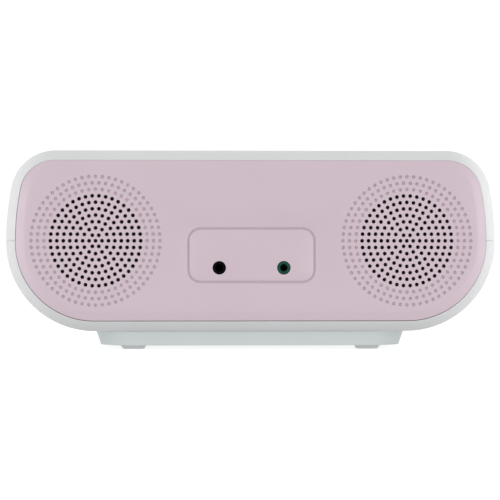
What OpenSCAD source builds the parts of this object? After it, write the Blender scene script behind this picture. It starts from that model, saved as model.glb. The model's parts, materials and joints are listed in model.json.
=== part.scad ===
// Splash-proof stereo table speaker: a wide loaf-shaped casing in two half shells, split at
// mid-height, with a pink front panel, a rear panel with a battery door, and a low plinth.
// Millimetres, +Z up, front towards -Y, origin under the middle of the casing on the surface
// that its feet stand on. Parts inside the casing are placed from its middle point, mid_z up.

/* [Casing] */
// Width of the casing
body_w = 246; // [244:1:248]
// Height of the casing without plinth and feet
body_h = 90.8; // [90.4:0.1:91.2]
// Depth over the faces of the front and rear panels
body_d = 76; // [76:1:80]
// Radius of the two upper corners
top_r = 22.5; // [21:0.5:23]
// Radius of the gently bowed sides
side_r = 144; // [140:1:150]
// Radius of the two lower corners
bottom_r = 44.6; // [44:0.1:45]
// Wall thickness of the shells
wall = 2.4; // [2.2:0.1:2.6]

/* [Stand] */
// Height of the rubber feet below the plinth
feet_h = 2; // [1.8:0.1:3]
// Height of the plinth
plinth_h = 7.4; // [6.6:0.1:8]
// Width of the plinth where it meets the casing
plinth_w = 157.6; // [154:0.2:160]
// Depth of the plinth where it meets the casing
plinth_d = 60; // [58:1:62]

/* [Front panel] */
// Distance of the panel's edge in from the casing's outline
panel_inset = 5.2; // [5:0.1:5.4]
// Distance from the middle to each driver
driver_x = 77.8; // [77:0.1:78.5]
// Spacing of the rings of holes
hole_pitch = 3.21; // [3.1:0.01:3.25]
// Diameter of the through holes
hole_d = 1.9; // [1.6:0.05:2]
// Diameter of the blind dimples around them
dimple_d = 1.7; // [1.4:0.05:1.8]
// Rings of through holes around the middle one
hole_rings = 7; // [6:1:7]
// Rings of blind dimples outside the holes
dimple_rings = 3; // [1:1:3]

/* [Jacks] */
// Width of the jack plate
plate_w = 62.8; // [60:0.2:66]
// Height of the jack plate
plate_h = 26.5; // [26:0.1:30]
// Distance from the middle to each jack
jack_x = 16.15; // [14:0.05:18]
// Bore of each jack, for a 3.5 mm plug
jack_bore_d = 3.6; // [3.55:0.01:3.65]

/* [Drivers] */
// Radius of each driver's magnet
magnet_r = 17.5; // [16.5:0.5:18]

/* [Keys] */
// Spacing of the three keys on top
key_pitch = 20; // [19:0.5:21]
// Length of a key
key_w = 13.4; // [12:0.1:14]
// Width of a key
key_d = 7.4; // [7:0.1:8]

/* [Hidden] */
$fn = 48;
eps = 0.01; // how far a cutter runs past the face that it opens

// Casing outline, about its middle point
half_w = body_w / 2;
half_h = body_h / 2;
mid_z = feet_h + plinth_h + half_h;
waist_z = bottom_r - half_h; // level of the widest point
top_cz = half_h - top_r;
top_cx = half_w - side_r + sqrt(pow(side_r - top_r, 2) - pow(top_cz - waist_z, 2));
side_angle = asin((top_cz - waist_z) / (side_r - top_r));

// Stations along the depth
front_y = -body_d / 2;
rear_y = body_d / 2;
front_lip_y = front_y + 0.9;
rear_lip_y = rear_y - 1.2;
// The shell's front edge: a wide shallow curve from the lip, then a tight one into the side
edge_angles = [32, 62, 90]; // how far the surface has turned from facing forward
edge_tight_r = 2;
edge_flat = 0.25; // flat strip of the lip beside the panel
rear_round = 6.4;
front_open = panel_inset - 0.25; // inset of the front opening's edge
rear_inset = 6.95;
rear_open = rear_inset - 0.25;
lip_back = 4.8; // from a panel's face to the groove behind the lip
groove = 3; // width of the groove that holds a panel's flange and its seal
rib = 1.5; // the rib behind the groove
flange_inset = wall + 0.3;
flange_t = 1.9;
seal_t = 1;
face_t = 2.6; // thickness of a panel's face
skirt_t = 2.2;

// Front panel details
panel_back_y = front_y + face_t;
membrane_t = 0.3;
membrane_r = 25.2;
dimple_depth = 0.6;
plate_t = 1.6;
plate_r = 5.9;
plate_gap = 0.2;
plate_z = -7.25;
plate_ledge = 3;
jack_z = -13.5;
jack_nose_r = 3.1;
jack_nose_gap = 0.25;
jack_bore_l = 14;
jack_face_y = front_y + 0.4;

// Driver, measured back from the front of its flange
gasket_t = 1;
driver_y = panel_back_y + gasket_t;
ear_r = 31; // radius of the driver's screw circle
ear_t = 1.2;
flange_r = 28.4;
former_r = 6.05;
pole_r = 5.8;
gap_r = 6.9;
gap_t = 14.2; // where the top plate starts
top_plate_t = 2.8;
magnet_t = 8;
yoke_t = 3;

// Keys
key_proud = 0.1;
key_gap = 0.3;
bezel_t = 1.2;
bezel_w = 2 * key_pitch + key_w + 14;
bezel_d = key_d + 7.6;
key_flange_t = 1;
key_flange_top = half_h - wall - 0.05;
membrane_top = key_flange_top - key_flange_t;
keypad_t = 0.8;
plunger_r = 1.5;
plunger_top = membrane_top - keypad_t;
plunger_l = 2;
switch_top = plunger_top - 1.2;
switch_h = 3.6;
key_board_t = 1.2;
key_board_z = switch_top - switch_h - key_board_t;
key_post_x = 33;

// Rear panel, battery door and tray
door_w = 110;
door_top = 20;
door_t = 2;
hinge_r = 2; // radius of the door's rolled lower edge
hinge_z = -20;
hinge_y = rear_y - hinge_r;
door_gap = 0.3;
trunnion_r = 1.2;
trunnion_l = 2.2;
tray_w = 109;
tray_h = 34.5;
tray_wall = 1.5;
tray_back = rear_y - door_t - 1; // the rim that the door seal sits on
tray_d = 17.5;
cell_r = 7.1;
cell_l = 49.2;
tray_ear = [59, 12];

// Places of posts, boards and screws, about the casing's middle
shell_posts = [[42, -22, -38], [66, 18, -38], [94, 4, -35.5]]; // x, y, level of the screw head's seat
post_r = 3.6;
plinth_posts = [30, 22];
foot_at = [59.6, 18];
main_board_size = [76, 28, 1.6];
main_board_at = [0, 1, -37];
main_board_posts = [[34, -10], [34, 12]];
jack_board_size = [60, 21, 1.6];
jack_board_z = jack_z - 5 - jack_board_size[2];
jack_board_y = -33;
jack_board_post = [24, -16];

// Wire routes on the right-hand side; the left-hand side mirrors them
speaker_lead_route = [[61, -13.5, -20.5], [54, -10, -27], [46, -6, -32.5], [41, -5, -32],
                      [36.5, -4.3, -28.5], [34.2, -4, -29.3], [34, -4, -31.5]];
battery_lead_route = [[50, 16.5, -9], [49.5, 15.2, -9.8], [48, 14.2, -13], [44, 13, -22], [36, 10, -27],
                      [31, 9, -27.5], [28.3, 9, -29], [28, 9, -31]];
battery_lead_half_gap = 0.9 * [0.52, 0.72, -0.46]; // from the route to each of the two leads
key_ribbon_route = [[0, 8, 34.6], [0, 11.5, 34], [0, 13.5, 30], [0, 14, 20], [0, 13, 6],
                    [0, 12.5, -8], [0, 13, -20], [0, 12, -28], [0, 11.5, -31.5]];
jack_ribbon_route = [[0, -15, -17.9], [0, -12, -17.8], [0, -10, -18.8], [0, -9, -21.5],
                     [0, -9.6, -26], [0, -10, -31.5]];

// ---------- shapes shared by several parts ----------

function arc(c, r, a0, a1, n) = [for (i = [0:n]) let (a = a0 + (a1 - a0) * i / n) c + r * [cos(a), sin(a)]];

function drop_first(list) = [for (i = [1:len(list) - 1]) list[i]];

// Right half of the casing's outline in x and z, moved in by d, from the bottom to the top
function half_outline(d) = concat(
    arc([half_w - bottom_r, waist_z], bottom_r - d, -90, 0, 12),
    drop_first(arc([half_w - side_r, waist_z], side_r - d, 0, side_angle, 3)),
    drop_first(arc([top_cx, top_cz], top_r - d, side_angle, 90, 9))
);

function mirrored(half) = concat(half, [for (i = [len(half) - 1:-1:0]) [-half[i][0], half[i][1]]]);

function outline(d) = mirrored(half_outline(d));

function outline_ring(y, d) = [for (p = outline(d)) [p[0], y, p[1]]];

// One closed solid through a row of rings with the same number of points. Seen along the way
// from the first ring to the last, each ring runs anticlockwise.
module skin(rings) {
    n = len(rings[0]);
    last = len(rings) - 1;
    sides = [for (i = [0:last - 1]) for (j = [0:n - 1])
        let (k = (j + 1) % n) [i * n + j, i * n + k, (i + 1) * n + k, (i + 1) * n + j]];
    polyhedron(
        points = [for (r = rings) for (p = r) p],
        faces = concat([[for (j = [n - 1:-1:0]) j]], sides, [[for (j = [0:n - 1]) last * n + j]]),
        convexity = 10
    );
}

function unit(v) = v / norm(v);

function tangent(path, i) = unit(path[min(i + 1, len(path) - 1)] - path[max(i - 1, 0)]);

// A section [u, v] set square to the path at each of its points; side is never along the path
module sweep(path, section, side) {
    skin([for (i = [0:len(path) - 1])
        let (t = tangent(path, i), u = unit(cross(t, side)), v = cross(u, t))
        [for (p = section) path[i] + p[0] * u + p[1] * v]]);
}

// Catmull-Rom curve through the points of a route
function curve_point(a, b, c, d, t) =
    0.5 * (2 * b + (c - a) * t + (2 * a - 5 * b + 4 * c - d) * t * t + (3 * b - a - 3 * c + d) * t * t * t);

function smooth(route, steps) = concat(
    [for (i = [0:len(route) - 2]) for (s = [0:steps - 1])
        curve_point(route[max(i - 1, 0)], route[i], route[i + 1],
                    route[min(i + 2, len(route) - 1)], s / steps)],
    [route[len(route) - 1]]
);

module wire(route, r) {
    sweep(smooth(route, 3), [for (k = [0:7]) r * [cos(45 * k), sin(45 * k)]], [1, 0, 0.2]);
}

module ribbon(route, w, t) {
    sweep(smooth(route, 3), [[-t, -w] / 2, [t, -w] / 2, [t, w] / 2, [-t, w] / 2], [1, 0, 0]);
}

module at_middle() {
    translate([0, 0, mid_z]) children();
}

// Extrudes a flat shape, drawn in x and z, from y0 back to y1
module along_y(y0, y1) {
    translate([0, y1, 0]) rotate([90, 0, 0]) linear_extrude(y1 - y0) children();
}

// Turns a profile, drawn in radius and distance, about the Y axis
module about_y(y0) {
    translate([0, y0, 0]) rotate([-90, 0, 0]) rotate_extrude() children();
}

module both_sides() {
    children();
    mirror([1, 0, 0]) children();
}

module four_corners(at) {
    for (sx = [-1, 1]) for (sy = [-1, 1]) translate([sx * at[0], sy * at[1], 0]) children();
}

module rounded_rect(w, h, r) {
    square([w - 2 * r, h], center = true);
    square([w, h - 2 * r], center = true);
    for (sx = [-1, 1]) for (sy = [-1, 1]) translate([sx * (w / 2 - r), sy * (h / 2 - r)]) circle(r);
}

module pill(w, h) {
    square([w - h, h], center = true);
    for (s = [-1, 1]) translate([s * (w - h) / 2, 0]) circle(h / 2);
}

// Pan-head screw with a cross recess: the shank runs up from z = 0 and the head hangs below
module screw(head_r, head_h, shank_r, shank_l) {
    difference() {
        union() {
            translate([0, 0, -head_h]) cylinder(r = head_r, h = head_h);
            cylinder(r = shank_r, h = shank_l);
        }
        for (a = [0, 90]) rotate(a) translate([-head_r * 0.55, -0.3, -head_h - eps])
            cube([head_r * 1.1, 0.6, head_h * 0.5]);
    }
}

// ---------- shells ----------

round_steps = 6;

edge_tight_inset = edge_tight_r * (1 - sin(edge_angles[1]));
edge_wide_r = (front_open - edge_flat - edge_tight_inset) / (sin(edge_angles[1]) - sin(edge_angles[0]));
edge_wide_depth = edge_wide_r * (cos(edge_angles[0]) - cos(edge_angles[1]));

// How far back and how far in the front edge is where its surface has turned to angle a
function front_edge(a) = a < edge_angles[1]
    ? [edge_wide_r * (cos(edge_angles[0]) - cos(a)),
       edge_tight_inset + edge_wide_r * (sin(edge_angles[1]) - sin(a))]
    : [edge_wide_depth + edge_tight_r * (cos(edge_angles[1]) - cos(a)),
       edge_tight_r * (1 - sin(a))];

function turns(a0, a1, n) = [for (i = [0:n]) a0 + (a1 - a0) * i / n];

module casing_form() {
    skin(concat(
        [outline_ring(front_lip_y, front_open)],
        [for (a = concat(turns(edge_angles[0], edge_angles[1], 5),
                         drop_first(turns(edge_angles[1], edge_angles[2], 3))))
            outline_ring(front_lip_y + front_edge(a)[0], front_edge(a)[1])],
        [for (i = [round_steps:-1:0]) let (a = 90 * i / round_steps)
            outline_ring(rear_lip_y - rear_round * (1 - cos(a)), rear_round * (1 - sin(a)))]
    ));
}

// Space inside the shells: each panel's opening, the groove for its flange, a rib, the cavity
module casing_cavity() {
    f0 = front_y + lip_back;
    r0 = rear_y - lip_back;
    skin([
        outline_ring(front_y - 1, front_open), outline_ring(f0, front_open),
        outline_ring(f0, wall), outline_ring(f0 + groove, wall),
        outline_ring(f0 + groove, front_open), outline_ring(f0 + groove + rib, front_open),
        outline_ring(f0 + groove + rib, wall), outline_ring(r0 - groove - rib, wall),
        outline_ring(r0 - groove - rib, rear_open), outline_ring(r0 - groove, rear_open),
        outline_ring(r0 - groove, wall), outline_ring(r0, wall),
        outline_ring(r0, rear_open), outline_ring(rear_y + 1, rear_open)
    ]);
}

tongue_x = half_w - wall + 0.05;
tongue_w = 1;
tongue_h = 1.2;
tongue_l = 54;
side_seal_t = 0.6;

// Keeps what is inside the middle of the walls
module within_walls() {
    intersection() {
        along_y(front_y + 8, rear_y - 8) polygon(outline(wall / 2));
        union() children();
    }
}

module half_space(side) {
    translate([-body_w, -body_d, side > 0 ? 0 : -body_h]) cube([2 * body_w, 2 * body_d, body_h]);
}

module shell_half(side) {
    intersection() {
        difference() {
            casing_form();
            casing_cavity();
        }
        half_space(side);
    }
}

pilot_gap = 0.05;
shell_screw = [2.9, 2.4, 1.45]; // head radius, head height, shank radius
small_screw = [2.1, 1.3, 1.1];
shell_bite = 12; // how far a shell screw reaches above the parting line

module upper_shell() {
    color("gainsboro") at_middle() difference() {
        union() {
            shell_half(1);
            within_walls() {
                for (p = shell_posts) both_sides() translate([p[0], p[1], 0])
                    cylinder(r = post_r, h = half_h);
                both_sides() translate([key_post_x, 0, key_board_z + key_board_t]) cylinder(r = 2.4, h = 10);
            }
        }
        for (p = shell_posts) both_sides() translate([p[0], p[1], -eps])
            cylinder(r = shell_screw[2] + pilot_gap, h = shell_bite + 2);
        both_sides() translate([key_post_x, 0, key_board_z])
            cylinder(r = small_screw[2] + pilot_gap, h = 6);
        both_sides() translate([tongue_x - 0.15, -tongue_l / 2 - 0.2, -eps])
            cube([tongue_w + 0.3, tongue_l + 0.4, tongue_h + side_seal_t + eps]);
        translate([0, 0, half_h - bezel_t]) linear_extrude(bezel_t + 1) pill(bezel_w + 0.3, bezel_d + 0.3);
        for (k = [-1:1]) translate([k * key_pitch, 0, half_h - wall - 1])
            linear_extrude(wall + 2) pill(key_w + 2 * key_gap, key_d + 2 * key_gap);
    }
}

module lower_shell() {
    color("gainsboro") at_middle() difference() {
        union() {
            shell_half(-1);
            within_walls() {
                for (p = shell_posts) both_sides() translate([p[0], p[1], -half_h]) {
                    cylinder(r = post_r, h = half_h);
                    cylinder(r = post_r + 1, h = p[2] + 2 + half_h);
                }
                for (p = main_board_posts) both_sides() standoff(p, main_board_at[2]);
                both_sides() standoff(jack_board_post, jack_board_z);
                four_corners(plinth_posts) translate([0, 0, -half_h]) cylinder(r = 3.2, h = 7.7);
            }
            both_sides() translate([tongue_x, -tongue_l / 2, -wall])
                cube([tongue_w, tongue_l, wall + tongue_h]);
        }
        for (p = shell_posts) both_sides() translate([p[0], p[1], -half_h - 1]) {
            cylinder(r = shell_screw[2] + 0.2, h = half_h + 2);
            cylinder(r = shell_screw[0] + 0.3, h = p[2] + half_h + 1);
        }
        for (p = main_board_posts) both_sides() pilot(p, main_board_at[2]);
        both_sides() pilot(jack_board_post, jack_board_z);
        four_corners(plinth_posts) translate([0, 0, -half_h - 1])
            cylinder(r = small_screw[2] + pilot_gap, h = 7);
    }
}

module standoff(at, top) {
    translate([at[0], at[1], -half_h]) cylinder(r = 2.6, h = top + half_h);
}

module pilot(at, top) {
    translate([at[0], at[1], top - 5]) cylinder(r = small_screw[2] + pilot_gap, h = 6);
}

// ---------- front panel ----------

// Places of the holes on rings a to b: ring n has 6 n holes, and ring 0 is the middle one
function ring_holes(a, b) = [for (n = [a:b]) for (k = [0:max(6 * n, 1) - 1])
    let (t = n == 0 ? 0 : 60 * k / n) n * hole_pitch * [cos(t), sin(t)]];

module on_rings(a, b) {
    for (side = [-1, 1]) for (p = ring_holes(a, b)) translate([side * driver_x + p[0], p[1]]) children();
}

module at_drivers() {
    for (side = [-1, 1]) translate([side * driver_x, 0, 0]) children();
}

// Panel blank with rolled edges and a flange: y is the face, dir is 1 when it faces the front
module panel_blank(y, dir, inset, roll_w, roll_d) {
    stations = concat(
        [for (i = [0:5]) let (a = 18 * i)
            [y + dir * roll_d * (1 - cos(a)), inset + roll_w * (1 - sin(a))]],
        [[y + dir * (lip_back + 0.1), inset], [y + dir * (lip_back + 0.1), flange_inset],
         [y + dir * (lip_back + 0.1 + flange_t), flange_inset]]
    );
    last = len(stations) - 1;
    skin([for (i = [0:last]) let (s = stations[dir > 0 ? i : last - i]) outline_ring(s[0], s[1])]);
}

module driver_bosses() {
    for (a = [45:90:315]) translate([ear_r * cos(a), 0, ear_r * sin(a)]) children();
}

module front_panel() {
    color("thistle") at_middle() difference() {
        union() {
            difference() {
                panel_blank(front_y, 1, panel_inset, 4.6, 1.15);
                along_y(panel_back_y, front_y + 9) polygon(outline(panel_inset + skirt_t));
            }
            at_drivers() driver_bosses() along_y(panel_back_y - eps, driver_y) circle(2.6);
        }
        at_drivers() {
            driver_bosses() along_y(front_y + 1, driver_y + 1) circle(small_screw[2] + pilot_gap);
            along_y(panel_back_y - membrane_t, panel_back_y + eps) circle(membrane_r);
        }
        along_y(front_y - 1, panel_back_y) on_rings(0, hole_rings) circle(hole_d / 2);
        along_y(front_y - 1, front_y + dimple_depth)
            on_rings(hole_rings + 1, hole_rings + dimple_rings) circle(dimple_d / 2);
        translate([0, 0, plate_z]) {
            along_y(front_y - 1, front_y + plate_t)
                rounded_rect(plate_w + 2 * plate_gap, plate_h + 2 * plate_gap, plate_r + plate_gap);
            along_y(front_y, panel_back_y + 1)
                rounded_rect(plate_w - 2 * plate_ledge, plate_h - 2 * plate_ledge, plate_r - plate_ledge);
        }
    }
}

module jack_plate() {
    color("thistle") at_middle() along_y(front_y, front_y + plate_t) difference() {
        translate([0, plate_z]) rounded_rect(plate_w, plate_h, plate_r);
        for (s = [-1, 1]) translate([s * jack_x, jack_z]) circle(jack_nose_r + jack_nose_gap);
    }
}

module splash_membranes() {
    color("dimgray") at_middle() at_drivers()
        along_y(panel_back_y - membrane_t, panel_back_y) circle(membrane_r - 0.2);
}

module driver_gaskets() {
    color("black") at_middle() at_drivers() along_y(panel_back_y, driver_y) difference() {
        circle(flange_r - 0.2);
        circle(23.6);
    }
}

module panel_seal(y0, inner_inset) {
    along_y(y0, y0 + seal_t) difference() {
        polygon(outline(wall + 0.2));
        polygon(outline(inner_inset - 0.2));
    }
}

module front_seal() {
    color("dimgray") at_middle() panel_seal(front_y + lip_back + groove - seal_t, front_open);
}

module rear_seal() {
    color("dimgray") at_middle() panel_seal(rear_y - lip_back - groove, rear_open);
}

module side_seals() {
    color("dimgray") at_middle() both_sides() translate([tongue_x, -tongue_l / 2, tongue_h])
        cube([tongue_w, tongue_l, side_seal_t]);
}

// ---------- jacks ----------

module jack(side, shade) {
    color(shade) at_middle() translate([side * jack_x, 0, jack_z]) difference() {
        union() {
            translate([-5.5, front_y + face_t + 0.3, -5]) cube([11, 13, 10]);
            along_y(jack_face_y, front_y + face_t + 0.3 + eps) circle(jack_nose_r);
        }
        along_y(jack_face_y - 1, jack_face_y + jack_bore_l) circle(jack_bore_d / 2);
    }
}

module line_in_jack() {
    jack(-1, "black");
}

module headphone_jack() {
    jack(1, "seagreen");
}

module board(size, holes, hole_r) {
    difference() {
        translate([-size[0] / 2, -size[1] / 2, 0]) cube(size);
        for (p = holes) translate([p[0], p[1], -1]) cylinder(r = hole_r, h = size[2] + 2);
    }
}

module jack_board() {
    y = jack_board_y + jack_board_size[1] / 2;
    color("darkgreen") at_middle() translate([0, y, jack_board_z])
        board(jack_board_size, [for (s = [-1, 1]) [s * jack_board_post[0], jack_board_post[1] - y]], 1.4);
}

module jack_ribbon() {
    color("lightgray") at_middle() ribbon(jack_ribbon_route, 8, 0.6);
}

// ---------- amplifier board ----------

module main_board() {
    holes = [for (s = [-1, 1]) for (p = main_board_posts) [s * p[0], p[1] - main_board_at[1]]];
    color("darkgreen") at_middle() translate(main_board_at) board(main_board_size, holes, 1.4);
}

board_top = main_board_at[2] + main_board_size[2];

module capacitor(r, h) {
    rotate_extrude() polygon([[0, 0], [r, 0], [r, 1.2], [r - 0.35, 1.5], [r, 1.8], [r, h], [0, h]]);
}

module inductor(r, h) {
    rotate_extrude() polygon([[0, 0], [r, 0], [r, 0.8], [r - 1, 1.2], [r - 1, h - 1.2], [r, h - 0.8],
                              [r, h], [0, h]]);
}

module chip(size, pins, pitch) {
    translate([-size[0] / 2, -size[1] / 2, 0.2]) cube(size);
    for (i = [0:pins - 1]) translate([(i - (pins - 1) / 2) * pitch - 0.2, -size[1] / 2 - 1, 0])
        cube([0.4, size[1] + 2, 0.6]);
}

module board_components() {
    color("dimgray") at_middle() translate([0, 0, board_top]) {
        translate([-2, 0, 0]) chip([10.3, 7.5, 2.3], 8, 1.27);
        for (x = [-26, -17]) translate([x, 4, 0]) capacitor(4, 11);
        translate([-22, -6, 0]) capacitor(2.5, 7);
        for (x = [12, 21]) translate([x, 3, 0]) inductor(3.8, 5);
        translate([15, -7, 0]) chip([5, 4, 1.5], 4, 1.27);
    }
}

module socket_block(size) {
    difference() {
        translate([-size[0] / 2, -size[1] / 2, 0]) cube(size);
        translate([-size[0] / 2 + 0.8, -size[1] / 2 + 0.8, size[2] - 2])
            cube([size[0] - 1.6, size[1] - 1.6, 3]);
    }
}

module board_connectors() {
    color("ivory") at_middle() translate([0, 0, board_top]) {
        for (s = [-1, 1]) translate([s * 34, -4, 0]) socket_block([6, 5, 5]);
        translate([28, 9, 0]) socket_block([6, 5, 5]);
        translate([0, 11.5, 0]) socket_block([14, 4, 5]);
        translate([0, -10, 0]) socket_block([10, 4, 5]);
    }
}

// ---------- keys ----------

module at_key(k) {
    at_middle() translate([k * key_pitch, 0, 0]) children();
}

module control_bezel() {
    color("thistle") at_middle() translate([0, 0, half_h - bezel_t]) linear_extrude(bezel_t) difference() {
        pill(bezel_w, bezel_d);
        for (k = [-1:1]) translate([k * key_pitch, 0]) pill(key_w + 2 * key_gap, key_d + 2 * key_gap);
    }
}

module key_cap(k) {
    color("white") at_key(k) {
        translate([0, 0, key_flange_top - eps]) linear_extrude(half_h + key_proud - key_flange_top + eps)
            pill(key_w, key_d);
        translate([0, 0, membrane_top]) linear_extrude(key_flange_t) pill(key_w + 2.6, key_d + 2.6);
    }
}

module power_button() {
    key_cap(0);
}

module volume_down_button() {
    key_cap(-1);
}

module volume_up_button() {
    key_cap(1);
}

module plunger(k) {
    color("black") at_key(k) translate([0, 0, plunger_top - plunger_l])
        cylinder(r = plunger_r, h = plunger_l);
}

module power_plunger() {
    plunger(0);
}

module volume_down_plunger() {
    plunger(-1);
}

module volume_up_plunger() {
    plunger(1);
}

keypad_w = 2 * key_pitch + key_w + 6.6;
keypad_d = key_d + 9.6;

module keypad_membrane() {
    color("whitesmoke") at_middle() {
        translate([0, 0, plunger_top]) linear_extrude(keypad_t) rounded_rect(keypad_w, keypad_d, 3);
        translate([0, 0, membrane_top - eps])
            linear_extrude(half_h - wall - membrane_top + eps) difference() {
            rounded_rect(keypad_w, keypad_d, 3);
            rounded_rect(keypad_w - 3, keypad_d - 3, 1.5);
        }
    }
}

module key_board() {
    color("darkgreen") at_middle() translate([0, 0, key_board_z])
        board([72, 18, key_board_t], [for (s = [-1, 1]) [s * key_post_x, 0]], 1.4);
}

module switch_housings() {
    color("silver") at_middle() for (k = [-1:1])
        translate([k * key_pitch, 0, key_board_z + key_board_t]) difference() {
            translate([-3, -3, 0]) cube([6, 6, switch_h]);
            translate([0, 0, switch_h - 1.6]) cylinder(r = plunger_r + 0.2, h = 2);
        }
}

module key_ribbon() {
    color("lightgray") at_middle() ribbon(key_ribbon_route, 10, 0.6);
}

// ---------- rear panel, battery door and cells ----------

tray_bosses = [tray_ear, [tray_ear[0], -tray_ear[1] + 2]];

module rear_panel() {
    opening_h = door_top - hinge_z + hinge_r + 2 * door_gap;
    color("gainsboro") at_middle() difference() {
        union() {
            difference() {
                panel_blank(rear_y, -1, rear_inset, 2.4, 1.4);
                along_y(rear_y - 9, rear_y - face_t) polygon(outline(rear_inset + skirt_t));
            }
            both_sides() translate([door_w / 2 + door_gap, hinge_y - 3.2, hinge_z - 3]) cube([4.6, 4, 6]);
        }
        translate([0, 0, hinge_z - hinge_r - door_gap + opening_h / 2])
            along_y(rear_y - 6, rear_y + 1) square([door_w + 2 * door_gap, opening_h], center = true);
        both_sides() translate([door_w / 2, hinge_y, hinge_z]) rotate([0, 90, 0])
            cylinder(r = trunnion_r + 0.06, h = door_gap + trunnion_l + 0.2);
        for (p = tray_bosses) both_sides() translate([p[0], 0, p[1]])
            along_y(rear_y - 6, rear_y - 0.8) circle(small_screw[2] + pilot_gap);
        translate([0, 0, door_top + door_gap]) along_y(rear_y - 1.2, rear_y + 1) circle(8);
    }
}

module battery_door() {
    color("gainsboro") at_middle() {
        translate([-door_w / 2, rear_y - door_t, hinge_z]) cube([door_w, door_t, door_top - hinge_z]);
        translate([-door_w / 2, hinge_y, hinge_z]) rotate([0, 90, 0]) cylinder(r = hinge_r, h = door_w);
        translate([-door_w / 2 - trunnion_l, hinge_y, hinge_z]) rotate([0, 90, 0])
            cylinder(r = trunnion_r, h = door_w + 2 * trunnion_l);
        translate([-6, rear_y - door_t - 3, door_top - 1.8]) cube([12, 3 + eps, 1.2]);
    }
}

module door_seal() {
    color("dimgray") at_middle() along_y(tray_back, rear_y - door_t) difference() {
        square([tray_w, tray_h], center = true);
        square([tray_w - 2 * tray_wall, tray_h - 2 * tray_wall], center = true);
    }
}

module battery_tray() {
    color("gray") at_middle() difference() {
        union() {
            along_y(tray_back - tray_d, tray_back) square([tray_w, tray_h], center = true);
            for (p = tray_bosses) both_sides() {
                along_y(rear_y - face_t - 2, rear_y - face_t) translate(p) circle(3);
                along_y(rear_y - face_t - 2, tray_back)
                    translate([tray_w / 2 - 1, p[1] - 3]) square([p[0] - tray_w / 2 + 1, 6]);
            }
        }
        along_y(tray_back - tray_d + tray_wall, tray_back + 1)
            square([tray_w - 2 * tray_wall, tray_h - 2 * tray_wall], center = true);
        for (p = tray_bosses) both_sides() translate([p[0], 0, p[1]])
            along_y(rear_y - 8, rear_y) circle(1.4);
    }
}

cell_y = tray_back - tray_d + tray_wall + cell_r + 0.5;
row_z = 7.6;

cell_shift = 1.4; // puts the last raised end against the plate contact

// Two cells end to end, the raised ends towards +X
module cell_pair() {
    for (i = [0, 1]) translate([(i - 1) * (cell_l + 1.3) + cell_shift, 0, 0]) rotate([0, 90, 0]) {
        cylinder(r = cell_r, h = cell_l);
        cylinder(r = 2.7, h = cell_l + 1.25);
    }
}

module battery_cells() {
    color("steelblue") at_middle() translate([0, cell_y, 0]) {
        translate([0, 0, row_z]) cell_pair();
        translate([0, 0, -row_z]) mirror([1, 0, 0]) cell_pair();
    }
}

function spring_path(turns, r0, r1, l) = [for (i = [0:turns * 10])
    let (t = i / (turns * 10), r = r0 + (r1 - r0) * t) [l * t, r * cos(36 * i), r * sin(36 * i)]];

// Contact plate against the tray's end wall, with a conical spring on it
module spring_contact() {
    wall_x = -tray_w / 2 + tray_wall;
    translate([wall_x, cell_y - 5, -5.5]) cube([0.4, 10, 11]);
    translate([wall_x + 0.7, cell_y, 0])
        sweep(spring_path(3, 4.6, 2.6, 2.7), [for (k = [0:5]) 0.3 * [cos(60 * k), sin(60 * k)]], [1, 0, 0]);
}

module plate_contact() {
    wall_x = tray_w / 2 - tray_wall;
    translate([wall_x - 0.4, cell_y - 5, -5.5]) cube([0.4, 10, 11]);
    translate([wall_x - 1, cell_y, 0]) rotate([0, 90, 0]) cylinder(r = 2.4, h = 0.7);
}

module battery_contacts() {
    color("silver") at_middle() {
        translate([0, 0, row_z]) {
            spring_contact();
            plate_contact();
        }
        translate([0, 0, -row_z]) mirror([1, 0, 0]) {
            spring_contact();
            plate_contact();
        }
    }
}

module battery_leads() {
    color("firebrick") at_middle() for (s = [-1, 1])
        translate(s * battery_lead_half_gap) wire(battery_lead_route, 0.6);
}

// ---------- plinth and feet ----------

function rounded_ring(w, d, r, z, shift = 0) = [for (q = [0:3]) for (i = [0:6])
    let (a = 90 * q + 15 * i, sx = (q == 0 || q == 3) ? 1 : -1, sy = q < 2 ? 1 : -1)
    [shift + sx * (w / 2 - r) + r * cos(a), sy * (d / 2 - r) + r * sin(a), z]];

plinth_taper = 4.2; // how much narrower the plinth is at the bottom
plinth_r = 18;
plinth_wall = 2.2;
foot_top = [13.6, 12];
foot_bottom = [10.6, 9];
foot_sunk = 1;

module base_plinth() {
    top = feet_h + plinth_h;
    bottom_w = plinth_w - plinth_taper;
    bottom_d = plinth_d - plinth_taper;
    color("silver") difference() {
        skin([
            rounded_ring(plinth_w, plinth_d, plinth_r, top),
            rounded_ring(bottom_w, bottom_d, plinth_r, feet_h + 0.4),
            rounded_ring(bottom_w - 0.3, bottom_d - 0.3, plinth_r, feet_h + 0.12),
            rounded_ring(bottom_w - 0.8, bottom_d - 0.8, plinth_r, feet_h)
        ]);
        difference() {
            translate([0, 0, feet_h + plinth_wall]) linear_extrude(plinth_h) rounded_rect(
                bottom_w - 2 * plinth_wall, bottom_d - 2 * plinth_wall, plinth_r - plinth_wall);
            four_corners(plinth_posts) cylinder(r = 4.4, h = top + 1);
        }
        four_corners(plinth_posts) translate([0, 0, feet_h - 1]) {
            cylinder(r = small_screw[2] + 0.2, h = plinth_h + 2);
            cylinder(r = small_screw[0] + 0.3, h = 1 + plinth_wall);
        }
        four_corners(foot_at) translate([0, 0, feet_h - 1]) linear_extrude(1 + foot_sunk)
            rounded_rect(foot_top[0] + 0.1, foot_top[1] + 0.1, 4.05);
    }
}

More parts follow.
